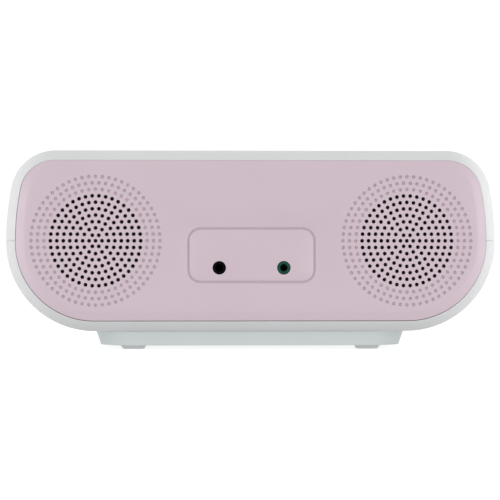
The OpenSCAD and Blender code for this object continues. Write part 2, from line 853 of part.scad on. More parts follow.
module foot(side) {
    slope = side * -0.2; // the foot's bottom sits a little towards the middle
    skin([
        rounded_ring(foot_top[0], foot_top[1], 4, feet_h + foot_sunk),
        rounded_ring(foot_top[0], foot_top[1], 4, feet_h),
        rounded_ring(foot_bottom[0] + 0.5, foot_bottom[1] + 0.5, 3, 0.3, slope),
        rounded_ring(foot_bottom[0], foot_bottom[1], 2.8, 0, slope)
    ]);
}

module rubber_feet() {
    color("gray") for (sx = [-1, 1]) for (sy = [-1, 1])
        translate([sx * foot_at[0], sy * foot_at[1], 0]) foot(sx);
}

// ---------- screws ----------

module shell_screws() {
    color("silver") at_middle() for (p = shell_posts) both_sides() translate([p[0], p[1], p[2]])
        screw(shell_screw[0], shell_screw[1], shell_screw[2], shell_bite - p[2]);
}

module plinth_screws() {
    color("silver") four_corners(plinth_posts) translate([0, 0, feet_h + plinth_wall])
        screw(small_screw[0], small_screw[1], small_screw[2], plinth_h - plinth_wall + 4.5);
}

module driver_screws() {
    color("silver") at_middle() at_drivers() driver_bosses()
        translate([0, driver_y + ear_t, 0]) rotate([90, 0, 0])
            screw(small_screw[0], small_screw[1], small_screw[2], 3.4);
}

module board_screws() {
    color("silver") at_middle() {
        for (p = main_board_posts) both_sides() translate([p[0], p[1], board_top]) rotate([180, 0, 0])
            screw(small_screw[0], small_screw[1], small_screw[2], 5);
        both_sides() translate([jack_board_post[0], jack_board_post[1], jack_board_z + jack_board_size[2]])
            rotate([180, 0, 0]) screw(small_screw[0], small_screw[1], small_screw[2], 5);
        both_sides() translate([key_post_x, 0, key_board_z])
            screw(small_screw[0], small_screw[1], small_screw[2], 5);
        for (p = tray_bosses) both_sides() translate([p[0], rear_y - face_t - 2, p[1]]) rotate([-90, 0, 0])
            screw(small_screw[0], small_screw[1], small_screw[2], 3.4);
    }
}

// ---------- drivers ----------

// Places one driver: side is -1 on the left and 1 on the right, seen from the front
module at_driver(side) {
    at_middle() translate([side * driver_x, driver_y, 0]) rotate([-90, 0, 0]) children();
}

module basket(side) {
    color("dimgray") at_driver(side) difference() {
        union() {
            rotate_extrude() polygon([
                [25, 0], [flange_r, 0], [flange_r, ear_t], [24.7, ear_t], [17.5, 11.2], [17.5, gap_t],
                [7.4, gap_t], [7.4, gap_t - 1], [16.5, gap_t - 1], [16.5, 11.6], [13.4, 11.6],
                [13.4, 10.9], [16.3, 10.9], [23.4, ear_t], [22.9, ear_t], [22.9, 0.6], [25, 0.6]
            ]);
            for (a = [45:90:315]) rotate(a) {
                translate([ear_r, 0, 0]) cylinder(r = 3, h = ear_t);
                translate([flange_r - 1.5, -3, 0]) cube([ear_r - flange_r + 1.5, 6, ear_t]);
            }
        }
        for (a = [0:90:270]) rotate(a) translate([14.6, -7.5, 2.2]) cube([14, 15, 8]);
        for (a = [45:90:315]) rotate(a) translate([ear_r, 0, -1]) cylinder(r = 1.3, h = ear_t + 2);
    }
}

// Rubber ring with one roll, which bulges back, away from the membrane
module surround(side) {
    roll = arc([20.6, 0.4], 2, 0, 180, 16);
    inner_roll = arc([20.6, 0.4], 1.65, 180, 0, 16);
    color("black") at_driver(side) rotate_extrude()
        polygon(concat([[24.9, 0.1], [24.9, 0.55], [22.6, 0.55]], drop_first(roll),
                       [[18.6, 0.55], [17.4, 0.55], [17.4, 0.2], [18.6, 0.2]],
                       drop_first(inner_roll), [[22.6, 0.1]]));
}

cone_front = [17.6, 0.6];
cone_neck = [former_r + 0.2, 8.3];

module cone(side) {
    color("darkslategray") at_driver(side) rotate_extrude()
        polygon([[18.55, 0.6], [18.55, 1], cone_front + [0, 0.42], cone_neck + [0, 0.42],
                 cone_neck, cone_front]);
}

module dust_cap(side) {
    base = 7.4;
    centre = [0, 13.4];
    spread = asin(base / 9.6);
    color("black") at_driver(side) rotate_extrude() polygon(concat(
        arc(centre, 9.6, -90, -90 + spread, 8), arc(centre, 9.3, -90 + spread, -90, 8)));
}

module voice_coil(side) {
    color("peru") at_driver(side) rotate_extrude()
        polygon([[former_r, 7.9], [former_r + 0.15, 7.9], [former_r + 0.15, 13.4], [former_r + 0.5, 13.4],
                 [former_r + 0.5, 17.4], [former_r, 17.4]]);
}

// Corrugated suspension between the coil former and the basket's ledge
module spider(side) {
    waves = [for (i = [0:24]) let (r = 6.8 + 6.4 * i / 24) [r, 10.45 + 0.55 * sin(360 * 3 * i / 24)]];
    color("goldenrod") at_driver(side) rotate_extrude() polygon(concat(
        [[6.25, 10.45]], waves, [[15.6, 10.45], [15.6, 10.85]],
        [for (i = [24:-1:0]) waves[i] + [0, 0.4]], [[6.25, 10.85]]));
}

module ring_z(inner, outer, z0, z1) {
    translate([0, 0, z0]) difference() {
        cylinder(r = outer, h = z1 - z0);
        translate([0, 0, -1]) cylinder(r = inner, h = z1 - z0 + 2);
    }
}

module top_plate(side) {
    color("silver") at_driver(side) ring_z(gap_r, 16, gap_t, gap_t + top_plate_t);
}

module magnet(side) {
    color("darkgray") at_driver(side)
        ring_z(8.5, magnet_r, gap_t + top_plate_t, gap_t + top_plate_t + magnet_t);
}

module yoke(side) {
    back = gap_t + top_plate_t + magnet_t;
    color("silver") at_driver(side) {
        translate([0, 0, back]) cylinder(r = 16, h = yoke_t);
        translate([0, 0, gap_t]) cylinder(r = pole_r, h = back - gap_t + eps);
    }
}

terminal_at = [driver_x - 13.8, driver_y + gap_t, -18.5];
lug_x = 1.9;

// Tag board on each basket's rim, with two solder lugs
module driver_terminals() {
    color("sienna") at_middle() both_sides() translate(terminal_at) {
        translate([-4, 0, 0]) cube([8, 1, 5]);
        for (s = [-1, 1]) translate([s * lug_x - 0.7, 1, 1]) cube([1.4, 3.4, 0.5]);
    }
}

module speaker_leads() {
    start = terminal_at + [0, 5.1, 0.8];
    color("firebrick") at_middle() both_sides() for (s = [-1, 1])
        wire(concat([start + [s * lug_x, 0, 0]], [for (p = speaker_lead_route) p + [0, s * 0.85, 0]]), 0.6);
}

// ---------- the assembly ----------

upper_shell();
lower_shell();
front_panel();
rear_panel();
jack_plate();
base_plinth();
rubber_feet();
battery_door();
control_bezel();
power_button();
volume_down_button();
volume_up_button();
power_plunger();
volume_down_plunger();
volume_up_plunger();
keypad_membrane();
key_board();
switch_housings();
key_ribbon();
line_in_jack();
headphone_jack();
jack_board();
jack_ribbon();
main_board();
board_components();
board_connectors();
battery_tray();
battery_cells();
battery_contacts();
battery_leads();
front_seal();
rear_seal();
side_seals();
door_seal();
shell_screws();
plinth_screws();
driver_screws();
board_screws();
driver_gaskets();
splash_membranes();
driver_terminals();
speaker_leads();
basket(-1);  // left_basket
surround(-1);  // left_surround
cone(-1);  // left_cone
dust_cap(-1);  // left_dust_cap
voice_coil(-1);  // left_voice_coil
spider(-1);  // left_spider
top_plate(-1);  // left_top_plate
magnet(-1);  // left_magnet
yoke(-1);  // left_yoke
basket(1);  // right_basket
surround(1);  // right_surround
cone(1);  // right_cone
dust_cap(1);  // right_dust_cap
voice_coil(1);  // right_voice_coil
spider(1);  // right_spider
top_plate(1);  // right_top_plate
magnet(1);  // right_magnet
yoke(1);  // right_yoke
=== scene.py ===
import json
import math

import bmesh
import bpy
import numpy as np
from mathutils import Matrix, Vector
from mathutils.geometry import delaunay_2d_cdt

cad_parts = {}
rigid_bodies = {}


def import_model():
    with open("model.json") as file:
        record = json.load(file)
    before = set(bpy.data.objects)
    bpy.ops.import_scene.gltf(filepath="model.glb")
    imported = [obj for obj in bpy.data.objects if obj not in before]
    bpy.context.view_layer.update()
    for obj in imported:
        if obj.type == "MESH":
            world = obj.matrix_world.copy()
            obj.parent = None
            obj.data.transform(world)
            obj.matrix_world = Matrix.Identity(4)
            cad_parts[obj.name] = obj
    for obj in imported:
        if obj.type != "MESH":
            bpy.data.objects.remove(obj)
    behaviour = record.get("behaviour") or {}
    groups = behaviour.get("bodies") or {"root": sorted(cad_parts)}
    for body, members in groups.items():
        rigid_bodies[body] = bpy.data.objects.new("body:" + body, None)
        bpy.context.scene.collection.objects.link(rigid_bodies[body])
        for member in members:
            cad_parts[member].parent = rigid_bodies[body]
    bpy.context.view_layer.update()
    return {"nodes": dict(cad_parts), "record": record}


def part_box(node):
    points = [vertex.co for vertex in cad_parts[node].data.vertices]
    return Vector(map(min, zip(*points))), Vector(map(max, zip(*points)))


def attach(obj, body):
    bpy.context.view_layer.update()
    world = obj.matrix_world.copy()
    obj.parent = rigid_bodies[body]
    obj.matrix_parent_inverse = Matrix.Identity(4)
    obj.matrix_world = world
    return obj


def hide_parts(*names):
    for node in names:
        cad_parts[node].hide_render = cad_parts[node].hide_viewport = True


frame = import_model()

MM = 0.001
SMOOTH_DEG = 34  # a mesh edge that turns more than this stays sharp
WELD = 1e-7  # metres within which a turned piece's points are one
FLAT_EPS = 1e-5  # millimetres within which a flat face's points are one
HAIR = 0.01  # millimetres that keep apart what would otherwise coincide
PAST = 2  # millimetres that a cutter runs past the surface it cuts

# ---------- the casing's form, in millimetres about its middle ----------

shell_parting, shell_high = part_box("upper_shell")
panel_low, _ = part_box("front_panel")
_, rear_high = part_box("rear_panel")
MID_Z = shell_parting.z / MM
HALF_W = shell_high.x / MM
HALF_H = shell_high.z / MM - MID_Z
FRONT, REAR = panel_low.y / MM, rear_high.y / MM

SIDE_R, TOP_R, BOTTOM_R = 144, 22.5, 44.6  # radii of the outline's arcs
SIDE_STEPS, TOP_STEPS, BOTTOM_STEPS = 10, 28, 40
WAIST = BOTTOM_R - HALF_H  # height at which the casing is widest
TOP_CZ = HALF_H - TOP_R
TOP_CX = HALF_W - SIDE_R + math.sqrt((SIDE_R - TOP_R) ** 2 - (TOP_CZ - WAIST) ** 2)
SIDE_DEG = math.degrees(math.asin((TOP_CZ - WAIST) / (SIDE_R - TOP_R)))  # where side meets corner

WALL = 2.4
LIP_BACK = 4.8  # from a panel's face back to its groove in the wall
GROOVE, RIB = 3, 1.5  # width of that groove, and of the rib behind it
PANEL_INSET, REAR_INSET = 5.2, 6.95  # from the outline in to each panel's edge
FRONT_GAP, REAR_GAP = 0.03, 0.25  # between each panel's edge and the lip
BOTTOM_GAP, LEFT_GAP = 0.27, 0.13  # how much wider the front panel's gap is there
FRONT_LIP, REAR_LIP = FRONT + 0.9, REAR - 1.2  # where the shells end
FACE_T = 2.6  # thickness of both panels


def to_metres(x, y, z):
    return Vector((x * MM, y * MM, (z + MID_Z) * MM))


def both(x):
    return (x, -x)


def arc(cx, cz, r, a0, a1, n):
    """Points of an arc with the outward normal at each: (x, z, nx, nz)."""
    out = []
    for i in range(n + 1):
        a = math.radians(a0 + (a1 - a0) * i / n)
        out.append((cx + r * math.cos(a), cz + r * math.sin(a), math.cos(a), math.sin(a)))
    return out


def mirrored(path):
    return path + [(-x, z, -nx, nz) for x, z, nx, nz in reversed(path)]


def parting_deg(z):
    """Angle on the side arc that is z above the casing's middle."""
    return math.degrees(math.asin((z - WAIST) / SIDE_R))


def side_arc(a0, a1, n):
    return arc(HALF_W - SIDE_R, WAIST, SIDE_R, a0, a1, n)


def upper_right(start_deg):
    corner = arc(TOP_CX, TOP_CZ, TOP_R, SIDE_DEG, 90, TOP_STEPS)
    return side_arc(start_deg, SIDE_DEG, SIDE_STEPS)[:-1] + corner


def lower_right(start_deg):
    corner = arc(HALF_W - BOTTOM_R, WAIST, BOTTOM_R, 0, -90, BOTTOM_STEPS)
    return (side_arc(start_deg, 0, 2)[:-1] if start_deg > 0.01 else []) + corner


OUTLINE = mirrored(list(reversed(lower_right(0)))[:-1] + upper_right(0))


def inset_loop(d, below=0, left=0):
    """The outline moved inwards by d, and by that much more along the bottom and the left."""
    loop = []
    for x, z, nx, nz in OUTLINE:
        dd = d + below * max(0, -nz) ** 2 + left * max(0, -nx) ** 2
        loop.append((x - dd * nx, z - dd * nz))
    return loop


def floor_z(x, d):
    """Height of the casing's underside at x, where it is moved inwards by d."""
    over = max(0, abs(x) - (HALF_W - BOTTOM_R))
    return WAIST - math.sqrt((BOTTOM_R - d) ** 2 - over ** 2)


def roof_z(x, d):
    over = max(0, abs(x) - TOP_CX)
    return TOP_CZ + math.sqrt((TOP_R - d) ** 2 - over ** 2)


# ---------- mesh tools ----------

class Mesher:
    """Collects vertices and faces in a flat frame (u, v) with a depth w, placed by to3(u, v, w)."""

    def __init__(self, to3=lambda u, v, w: to_metres(u, w, v)):
        self.to3, self.flat, self.verts, self.faces = to3, [], [], []

    def ring(self, loop, w):
        start = len(self.verts)
        for u, v in loop:
            self.flat.append((u, v))
            self.verts.append(self.to3(u, v, w))
        return list(range(start, len(self.verts)))

    def strip(self, a, b):
        n = len(a)
        self.faces += [(a[i], a[(i + 1) % n], b[(i + 1) % n], b[i]) for i in range(n)]

    def tube(self, steps):
        """A strip through rings given as (loop, depth); returns the first and last ring."""
        rings = [self.ring(loop, w) for loop, w in steps]
        for a, b in zip(rings, rings[1:]):
            self.strip(a, b)
        return rings[0], rings[-1]

    def cap(self, ring):
        self.faces.append(tuple(ring))

    def closed_tube(self, steps):
        for ring in self.tube(steps):
            self.cap(ring)

    def fill(self, outer, holes):
        """Triangles between an outer ring and the hole rings inside it, all in one plane."""
        rings = [outer] + holes
        index = [i for r in rings for i in r]
        points = [Vector(self.flat[i]) for i in index]
        edges, at = [], 0
        for r in rings:
            edges += [(at + i, at + (i + 1) % len(r)) for i in range(len(r))]
            at += len(r)
        out, _, tris, origin, _, _ = delaunay_2d_cdt(points, edges, [], 0, FLAT_EPS)
        centres = np.array([sum((out[i] for i in t), Vector((0, 0))) / 3 for t in tris])
        keep = inside(np.array([self.flat[i] for i in outer]), centres)
        for hole in holes:
            shape = np.array([self.flat[i] for i in hole])
            near = keep & np.all(centres > shape.min(0), 1) & np.all(centres < shape.max(0), 1)
            which = np.flatnonzero(near)
            keep[which[inside(shape, centres[which])]] = False
        for t, ok in zip(tris, keep):
            if ok:
                self.faces.append(tuple(index[origin[i][0]] for i in t))

    def piece(self, name):
        return make_piece(name, self.verts, self.faces)


def inside(shape, points):
    """Even-odd test of many points against one polygon."""
    result = np.zeros(len(points), bool)
    following = np.roll(shape, -1, 0)
    for (x0, y0), (x1, y1) in zip(shape, following):
        if y0 == y1:
            continue
        crosses = (y0 > points[:, 1]) != (y1 > points[:, 1])
        result ^= crosses & (points[:, 0] < (x1 - x0) * (points[:, 1] - y0) / (y1 - y0) + x0)
    return result


def sleeve(m, rows, closed=False):
    """Faces between neighbouring rows of m points, and from the last to the first if closed."""
    faces = []
    for k in range(rows if closed else rows - 1):
        a, b = k * m, (k + 1) % rows * m
        faces += [(a + i, a + (i + 1) % m, b + (i + 1) % m, b + i) for i in range(m)]
    return faces


def make_piece(name, verts, faces, weld=False):
    mesh = bpy.data.meshes.new(name)
    mesh.from_pydata([tuple(v) for v in verts], [], faces)
    tidy(mesh, weld)
    obj = bpy.data.objects.new(name, mesh)
    bpy.context.scene.collection.objects.link(obj)
    return obj


def tidy(mesh, weld=False):
    """Turns the faces outwards and sets smooth and sharp; weld merges points on an axis first."""
    bm = bmesh.new()
    bm.from_mesh(mesh)
    if weld:
        bmesh.ops.remove_doubles(bm, verts=bm.verts, dist=WELD)
        bmesh.ops.dissolve_degenerate(bm, edges=bm.edges, dist=WELD)
    bmesh.ops.recalc_face_normals(bm, faces=bm.faces)
    bm.to_mesh(mesh)
    bm.free()
    mesh.shade_smooth()
    mesh.set_sharp_from_angle(angle=math.radians(SMOOTH_DEG))


def joined(name, parts):
    """One piece out of several, each a closed solid."""
    verts, faces = [], []
    for part in parts:
        start = len(verts)
        verts += [v.co.copy() for v in part.data.vertices]
        faces += [tuple(start + i for i in p.vertices) for p in part.data.polygons]
        discard(part)
    return make_piece(name, verts, faces)


def discard(obj):
    mesh = obj.data
    bpy.data.objects.remove(obj)
    bpy.data.meshes.remove(mesh)


def carve(obj, *cutters):
    """Cuts solids out of a piece, one after another, and applies the result."""
    for cutter in cutters:
        cut = obj.modifiers.new("cut", "BOOLEAN")
        cut.operation, cut.solver, cut.object = "DIFFERENCE", "EXACT", cutter
        bpy.context.view_layer.update()
        evaluated = obj.evaluated_get(bpy.context.evaluated_depsgraph_get())
        result = bpy.data.meshes.new_from_object(evaluated)
        old, obj.data = obj.data, result
        obj.modifiers.clear()
        result.name = obj.name
        bpy.data.meshes.remove(old)
        discard(cutter)
        tidy(result)
    return obj


def circle(cx, cy, r, n=24):
    turns = [2 * math.pi * i / n for i in range(n)]
    return [(cx + r * math.cos(a), cy + r * math.sin(a)) for a in turns]


def rounded_rect(cx, cy, w, h, r, n=8):
    out = []
    for q, (sx, sy) in enumerate([(1, 1), (-1, 1), (-1, -1), (1, -1)]):
        x, y = cx + sx * (w / 2 - r), cy + sy * (h / 2 - r)
        for i in range(n + 1):
            a = math.radians(90 * q + 90 * i / n)
            out.append((x + r * math.cos(a), y + r * math.sin(a)))
    return out


def pill(cx, w, h, n=12):
    return rounded_rect(cx, 0, w, h, h / 2 - 1e-4, n)


def edge_round(r, n=4):
    """(how far in, how far down) along a rounded edge, from the face over to the wall."""
    turns = [math.pi / 2 * i / n for i in range(n + 1)]
    return [(r * (1 - math.sin(a)), r * (1 - math.cos(a))) for a in turns]


def edged(shape, face, way, rim, n=4):
    """Rings from a flat face over its rounded edge: shape(g) is the loop g away from the wall.

    rim is how far from the wall the flat face starts, and the edge's radius.
    """
    start, r = rim
    return [(shape(start), face)] + [(shape(a), face + way * b) for a, b in edge_round(r, n)]


def lathed(name, profile, place, n=48):
    """A profile of (radius, along) turned about an axis; place(a, b, along) gives the point."""
    verts = []
    for i in range(n):
        a = 2 * math.pi * i / n
        verts += [place(r * math.cos(a), r * math.sin(a), h) for r, h in profile]
    return make_piece(name, verts, sleeve(len(profile), n, closed=True), weld=True)


def along_front(x, z):
    return lambda a, b, h: to_metres(x + a, h, z + b)


def along_x(y, z, x0, sign=1):
    return lambda a, b, h: to_metres(x0 + sign * h, y + a, z + b)


def upright(x, y, w):
    return to_metres(x, y, w)


def on_floor(u, v, w):
    return Vector((u * MM, v * MM, w * MM))


def prism(name, loop, w0, w1, *to3):
    m = Mesher(*to3)
    m.closed_tube([(loop, w0), (loop, w1)])
    return m.piece(name)


# ---------- materials ----------

NOISE_LOW, NOISE_HIGH = 0.3, 0.7  # most of a noise lies between these


def feed(tree, socket, value):
    if isinstance(value, bpy.types.NodeSocket):
        tree.links.new(value, socket)
    else:
        socket.default_value = value


def maths(tree, kind, a, b):
    node = tree.nodes.new("ShaderNodeMath")
    node.operation = kind
    feed(tree, node.inputs[0], a)
    feed(tree, node.inputs[1], b)
    return node.outputs["Value"]


class Shader:
    """A material with a Principled shader and short ways to add procedural detail."""

    def __init__(self, name, roughness, **sockets):
        self.mat = bpy.data.materials.new(name)
        self.mat.use_nodes = True
        self.tree = self.mat.node_tree
        self.bsdf = self.tree.nodes["Principled BSDF"]
        self.roughness = roughness
        for key, value in dict(sockets, Roughness=roughness).items():
            self.bsdf.inputs[key.replace("_", " ")].default_value = value
        self.coords = self.node("ShaderNodeTexCoord").outputs["Object"]

    def node(self, kind, **inputs):
        node = self.tree.nodes.new(kind)
        for key, value in inputs.items():
            feed(self.tree, node.inputs[key.replace("_", " ")], value)
        return node

    def stretched(self, scale):
        """Object coordinates, scaled along each axis."""
        return self.node("ShaderNodeMapping", Vector=self.coords, Scale=scale).outputs["Vector"]

    def noise(self, scale, detail=3.0, rough=0.5, vector=None):
        return self.node("ShaderNodeTexNoise", Vector=vector or self.coords, Scale=scale,
                         Detail=detail, Roughness=rough).outputs["Fac"]

    def pebbles(self, scale):
        node = self.node("ShaderNodeTexVoronoi", Vector=self.coords, Scale=scale)
        return node.outputs["Distance"]

    def bands(self, direction, scale):
        node = self.node("ShaderNodeTexWave", Vector=self.coords, Scale=scale)
        node.bands_direction = direction
        return node.outputs["Fac"]

    def blend(self, a, b, share):
        """The same share of each of two sources, added up."""
        one, other = (maths(self.tree, "MULTIPLY", source, share) for source in (a, b))
        return maths(self.tree, "ADD", one, other)

    def ramp(self, value, stops):
        node = self.node("ShaderNodeValToRGB", Fac=value)
        elements = node.color_ramp.elements
        while len(elements) < len(stops):
            elements.new(0.5)
        for element, (at, rgb) in zip(elements, stops):
            element.position, element.color = at, (*rgb, 1)
        return node.outputs["Color"]

    def colour(self, source):
        feed(self.tree, self.bsdf.inputs["Base Color"], source)

    def mottle(self, source, rgb, spread):
        """Colour that follows a noise, darker and lighter than rgb by the share spread."""
        dark = [c * (1 - spread) for c in rgb]
        light = [min(1.0, c * (1 + spread)) for c in rgb]
        self.colour(self.ramp(source, [(NOISE_LOW, dark), (NOISE_HIGH, light)]))

    def vary_gloss(self, source, below, above):
        """Roughness that follows a noise, this far below and above the material's own."""
        node = self.node("ShaderNodeMapRange", Value=source,
                         From_Min=NOISE_LOW, From_Max=NOISE_HIGH,
                         To_Min=self.roughness - below, To_Max=self.roughness + above)
        feed(self.tree, self.bsdf.inputs["Roughness"], node.outputs["Result"])

    def bump(self, height, um):
        """Relief that is um micrometres deep."""
        node = self.node("ShaderNodeBump", Height=height, Strength=1.0, Distance=um * 1e-6)
        feed(self.tree, self.bsdf.inputs["Normal"], node.outputs["Normal"])


def moulded(name, rgb, rough, grain_mm=0.35, grain_um=6, spread=0.012, specular=0.45):
    """Moulded plastic: a fine spark-eroded grain, faint flow mottling, uneven gloss."""
    s = Shader(name, rough, Specular_IOR_Level=specular)
    s.mottle(s.noise(28, 4), rgb, spread)
    grain = s.noise(1000 / grain_mm, 2)
    s.vary_gloss(s.blend(grain, s.noise(70, 3), 0.5), 0.06, 0.08)
    s.bump(grain, grain_um)
    return s.mat


def rubbery(name, rgb, rough=0.75, grain_mm=0.5, spread=0.06):
    """Rubber or foam: matte, with a pebbled skin, random mottling, and painted shade darkening its
    low places.
    """
    s = Shader(name, rough, Specular_IOR_Level=0.3)
    pebble = s.pebbles(1000 / grain_mm)
    # Colour follows the pebbles' height as well as a noise: painted shade in the pits, over random
    # mottling.
    s.mottle(s.blend(pebble, s.noise(90, 4), 0.6), rgb, spread)
    s.vary_gloss(s.noise(160), 0.08, 0.1)
    s.bump(pebble, 25)
    return s.mat


def metal(name, rgb, rough, stretch=(60, 60, 2600), um=2.0):
    """Bare or plated metal with fine turning or rolling marks along one way."""
    s = Shader(name, rough, Metallic=1.0)
    marks = s.noise(1.0, 4, 0.6, s.stretched(stretch))
    s.mottle(s.noise(150, 3), rgb, 0.06)
    s.vary_gloss(marks, 0.08, 0.12)
    s.bump(marks, um)
    return s.mat


def circuit(name):
    """Green solder mask over copper tracks."""
    s = Shader(name, 0.32, Coat_Weight=0.3)
    tracks = s.node("ShaderNodeTexBrick", Vector=s.coords, Scale=320.0, Mortar_Size=0.06,
                    Color1=(0.012, 0.095, 0.035, 1), Color2=(0.018, 0.13, 0.05, 1),
                    Mortar=(0.04, 0.23, 0.09, 1))
    s.colour(tracks.outputs["Color"])
    s.vary_gloss(s.noise(400), 0.07, 0.1)
    s.bump(tracks.outputs["Fac"], 20)
    return s.mat


def cloth(name, rgb, pitch_mm, rough=0.9):
    """A plain weave, with painted shade where the threads dip."""
    s = Shader(name, rough)
    warp, weft = (s.bands(way, 1000 / pitch_mm / 2) for way in ("X", "Z"))
    weave = maths(s.tree, "MULTIPLY", warp, weft)
    # Darker where the threads dip, following the weave's relief: painted shade between the threads.
    s.colour(s.ramp(weave, [(0.0, [c * 0.6 for c in rgb]), (1.0, rgb)]))
    s.bump(weave, 60)
    return s.mat


def fibrous(name, rgb, rough=0.85):
    """Pressed paper pulp with flecks and soft fibres."""
    s = Shader(name, rough)
    fibres = s.noise(1.0, 5, 0.65, s.stretched((900, 900, 2600)))
    s.mottle(fibres, rgb, 0.35)
    s.vary_gloss(fibres, 0.1, 0.1)
    s.bump(fibres, 40)
    return s.mat


def striped(name, dark, light, direction, per_metre, rough=0.5, um=60, metallic=0.0):
    """Ribbon cable cores or copper turns: round ridges side by side, with painted shade darkening
    the grooves between them.
    """
    s = Shader(name, rough, Metallic=metallic)
    ridges = s.bands(direction, per_metre)
    # Darker in the troughs between ridges and lighter on the crests: painted shade.
    s.colour(s.ramp(ridges, [(0.05, dark), (0.6, light)]))
    s.vary_gloss(s.noise(500), 0.08, 0.1)
    s.bump(ridges, um)
    return s.mat


def jack_plastic(name, rgb, specular):
    s = Shader(name, 0.5, Specular_IOR_Level=specular)
    s.mottle(s.noise(240, 3), rgb, 0.08)
    s.vary_gloss(s.noise(900), 0.08, 0.1)
    s.bump(s.noise(3500, 2), 5)
    return s.mat


def cell_film(name):
    """A plain blue film on a steel can."""
    s = Shader(name, 0.28, Coat_Weight=0.4)
    s.mottle(s.noise(120, 3), (0.05, 0.13, 0.28), 0.1)
    s.vary_gloss(s.noise(600), 0.08, 0.08)
    s.bump(s.noise(900, 2), 10)
    return s.mat


WHITE = (0.655, 0.66, 0.665)
PINK = (0.604, 0.485, 0.548)
casing_white = moulded("casing_white", WHITE, 0.42, specular=0.36)
panel_pink = moulded("panel_pink", PINK, 0.45, grain_um=8)
plinth_grey = moulded("plinth_grey", (0.645, 0.685, 0.691), 0.5)
key_white = moulded("key_white", (0.80, 0.80, 0.81), 0.38)
foot_rubber = rubbery("foot_rubber", (0.585, 0.605, 0.61))
LOOKS = {
    "switch_plunger": moulded("switch_plunger", (0.03, 0.03, 0.032), 0.5),
    "silicone": rubbery("silicone", (0.62, 0.60, 0.60), 0.6, 0.8),
    "circuit_board": circuit("circuit_board"),
    "switch_metal": metal("switch_metal", (0.62, 0.62, 0.61), 0.35),
    "ribbon_cable": striped("ribbon_cable", (0.28, 0.28, 0.29), (0.56, 0.56, 0.57), "X", 500),
    "board_component": moulded("board_component", (0.025, 0.026, 0.03), 0.4),
    "connector_nylon": moulded("connector_nylon", (0.74, 0.71, 0.62), 0.5),
    "tray_plastic": moulded("tray_plastic", (0.045, 0.046, 0.05), 0.55),
    "contact_metal": metal("contact_metal", (0.70, 0.69, 0.66), 0.22),
    "wire_insulation": rubbery("wire_insulation", (0.42, 0.025, 0.02), 0.45, 0.9),
    "seal_rubber": rubbery("seal_rubber", (0.045, 0.045, 0.047), 0.8),
    "foam": rubbery("foam", (0.03, 0.03, 0.031), 0.92, 0.35),
    "screw_steel": metal("screw_steel", (0.56, 0.56, 0.57), 0.33),
    "splash_fabric": cloth("splash_fabric", (0.012, 0.012, 0.013), 0.12),
    "terminal_board": fibrous("terminal_board", (0.26, 0.14, 0.06), 0.6),
    "basket_paint": rubbery("basket_paint", (0.035, 0.035, 0.038), 0.45, 0.25),
    "surround_rubber": rubbery("surround_rubber", (0.02, 0.02, 0.021), 0.55),
    "cone_paper": fibrous("cone_paper", (0.035, 0.035, 0.036)),
    "coil_copper": striped("coil_copper", (0.25, 0.09, 0.03), (0.72, 0.33, 0.14), "Y", 2400,
                           0.3, 20, 1.0),
    "spider_cloth": cloth("spider_cloth", (0.58, 0.38, 0.10), 0.3),
    "plated_steel": metal("plated_steel", (0.66, 0.63, 0.50), 0.32),
    "ferrite": rubbery("ferrite", (0.055, 0.055, 0.06), 0.6, 0.4),
}


def finish(piece, material, body, slot, *nodes):
    piece.data.materials.clear()
    piece.data.materials.append(material)
    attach(piece, body)
    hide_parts(*nodes)
    return piece


# ---------- casing shells ----------

REAR_ROUND = 6.4  # radius of the shells' rear edge
REAR_FALL = 0.3  # how far the rear lip falls back towards its panel
LIP_EDGE = 0.18  # radius of the lip's inner edge
EDGE_TIGHT = 2.0  # radius where the front edge turns into the side
EDGE_TURNS = (32, 62)  # how far the wide curve between them has turned from facing forward
EDGE_STEP = 7  # about how many degrees one step of the front edge turns
SIDE_RINGS, ROUND_RINGS = 6, 16  # steps along the side, and round the rear edge
PARTING_STEPS = [(0.03, 0.26), (0.10, 0.13), (0.2, 0.045), (0.34, 0.0)]  # height, groove there


def front_edge():
    """The shell's front edge as (y, inset), from the panel's gap round to the side."""
    def turned(radius, a, b):
        steps = max(2, round(abs(b - a) / EDGE_STEP))
        out = []
        for i in range(1, steps + 1):
            t0, t1 = (math.radians(a + (b - a) * (i - k) / steps) for k in (1, 0))
            out.append((radius * (math.cos(t0) - math.cos(t1)),
                        radius * (math.sin(t1) - math.sin(t0))))
        return out

    first, last = EDGE_TURNS
    sine = lambda deg: math.sin(math.radians(deg))
    span = PANEL_INSET - FRONT_GAP - LIP_EDGE * (1 + sine(first)) - EDGE_TIGHT * (1 - sine(last))
    wide = span / (sine(last) - sine(first))
    points = [(FRONT_LIP + LIP_EDGE, PANEL_INSET - FRONT_GAP)]
    moves = turned(LIP_EDGE, -90, first) + turned(wide, first, last) + turned(EDGE_TIGHT, last, 90)
    for dy, dd in moves:
        y, d = points[-1]
        points.append((y + dy, d - dd))
    return points


def shell_profile():
    """Closed section of the shell wall as (y, inset, share of the parting groove)."""
    f_open, r_open = PANEL_INSET - FRONT_GAP, REAR_INSET - REAR_GAP
    out = [(y, d, 1) for y, d in front_edge()]
    y0, y1 = out[-1][0], REAR_LIP - REAR_ROUND
    out += [(y0 + (y1 - y0) * i / SIDE_RINGS, 0, 1) for i in range(1, SIDE_RINGS)]
    out += [(REAR_LIP - a, b, 1) for a, b in edge_round(REAR_ROUND, ROUND_RINGS)]
    out.append((REAR_LIP - REAR_FALL, r_open, 0.5))
    f0, r0 = FRONT + LIP_BACK, REAR - LIP_BACK
    f1, r1 = f0 + GROOVE, r0 - GROOVE
    f2, r2 = f1 + RIB, r1 - RIB
    inner = [(r0, r_open), (r0, WALL), (r1, WALL), (r1, r_open), (r2, r_open), (r2, WALL),
             (f2, WALL), (f2, f_open), (f1, f_open), (f1, WALL), (f0, WALL), (f0, f_open)]
    return out + [(y, d, 0) for y, d in inner]


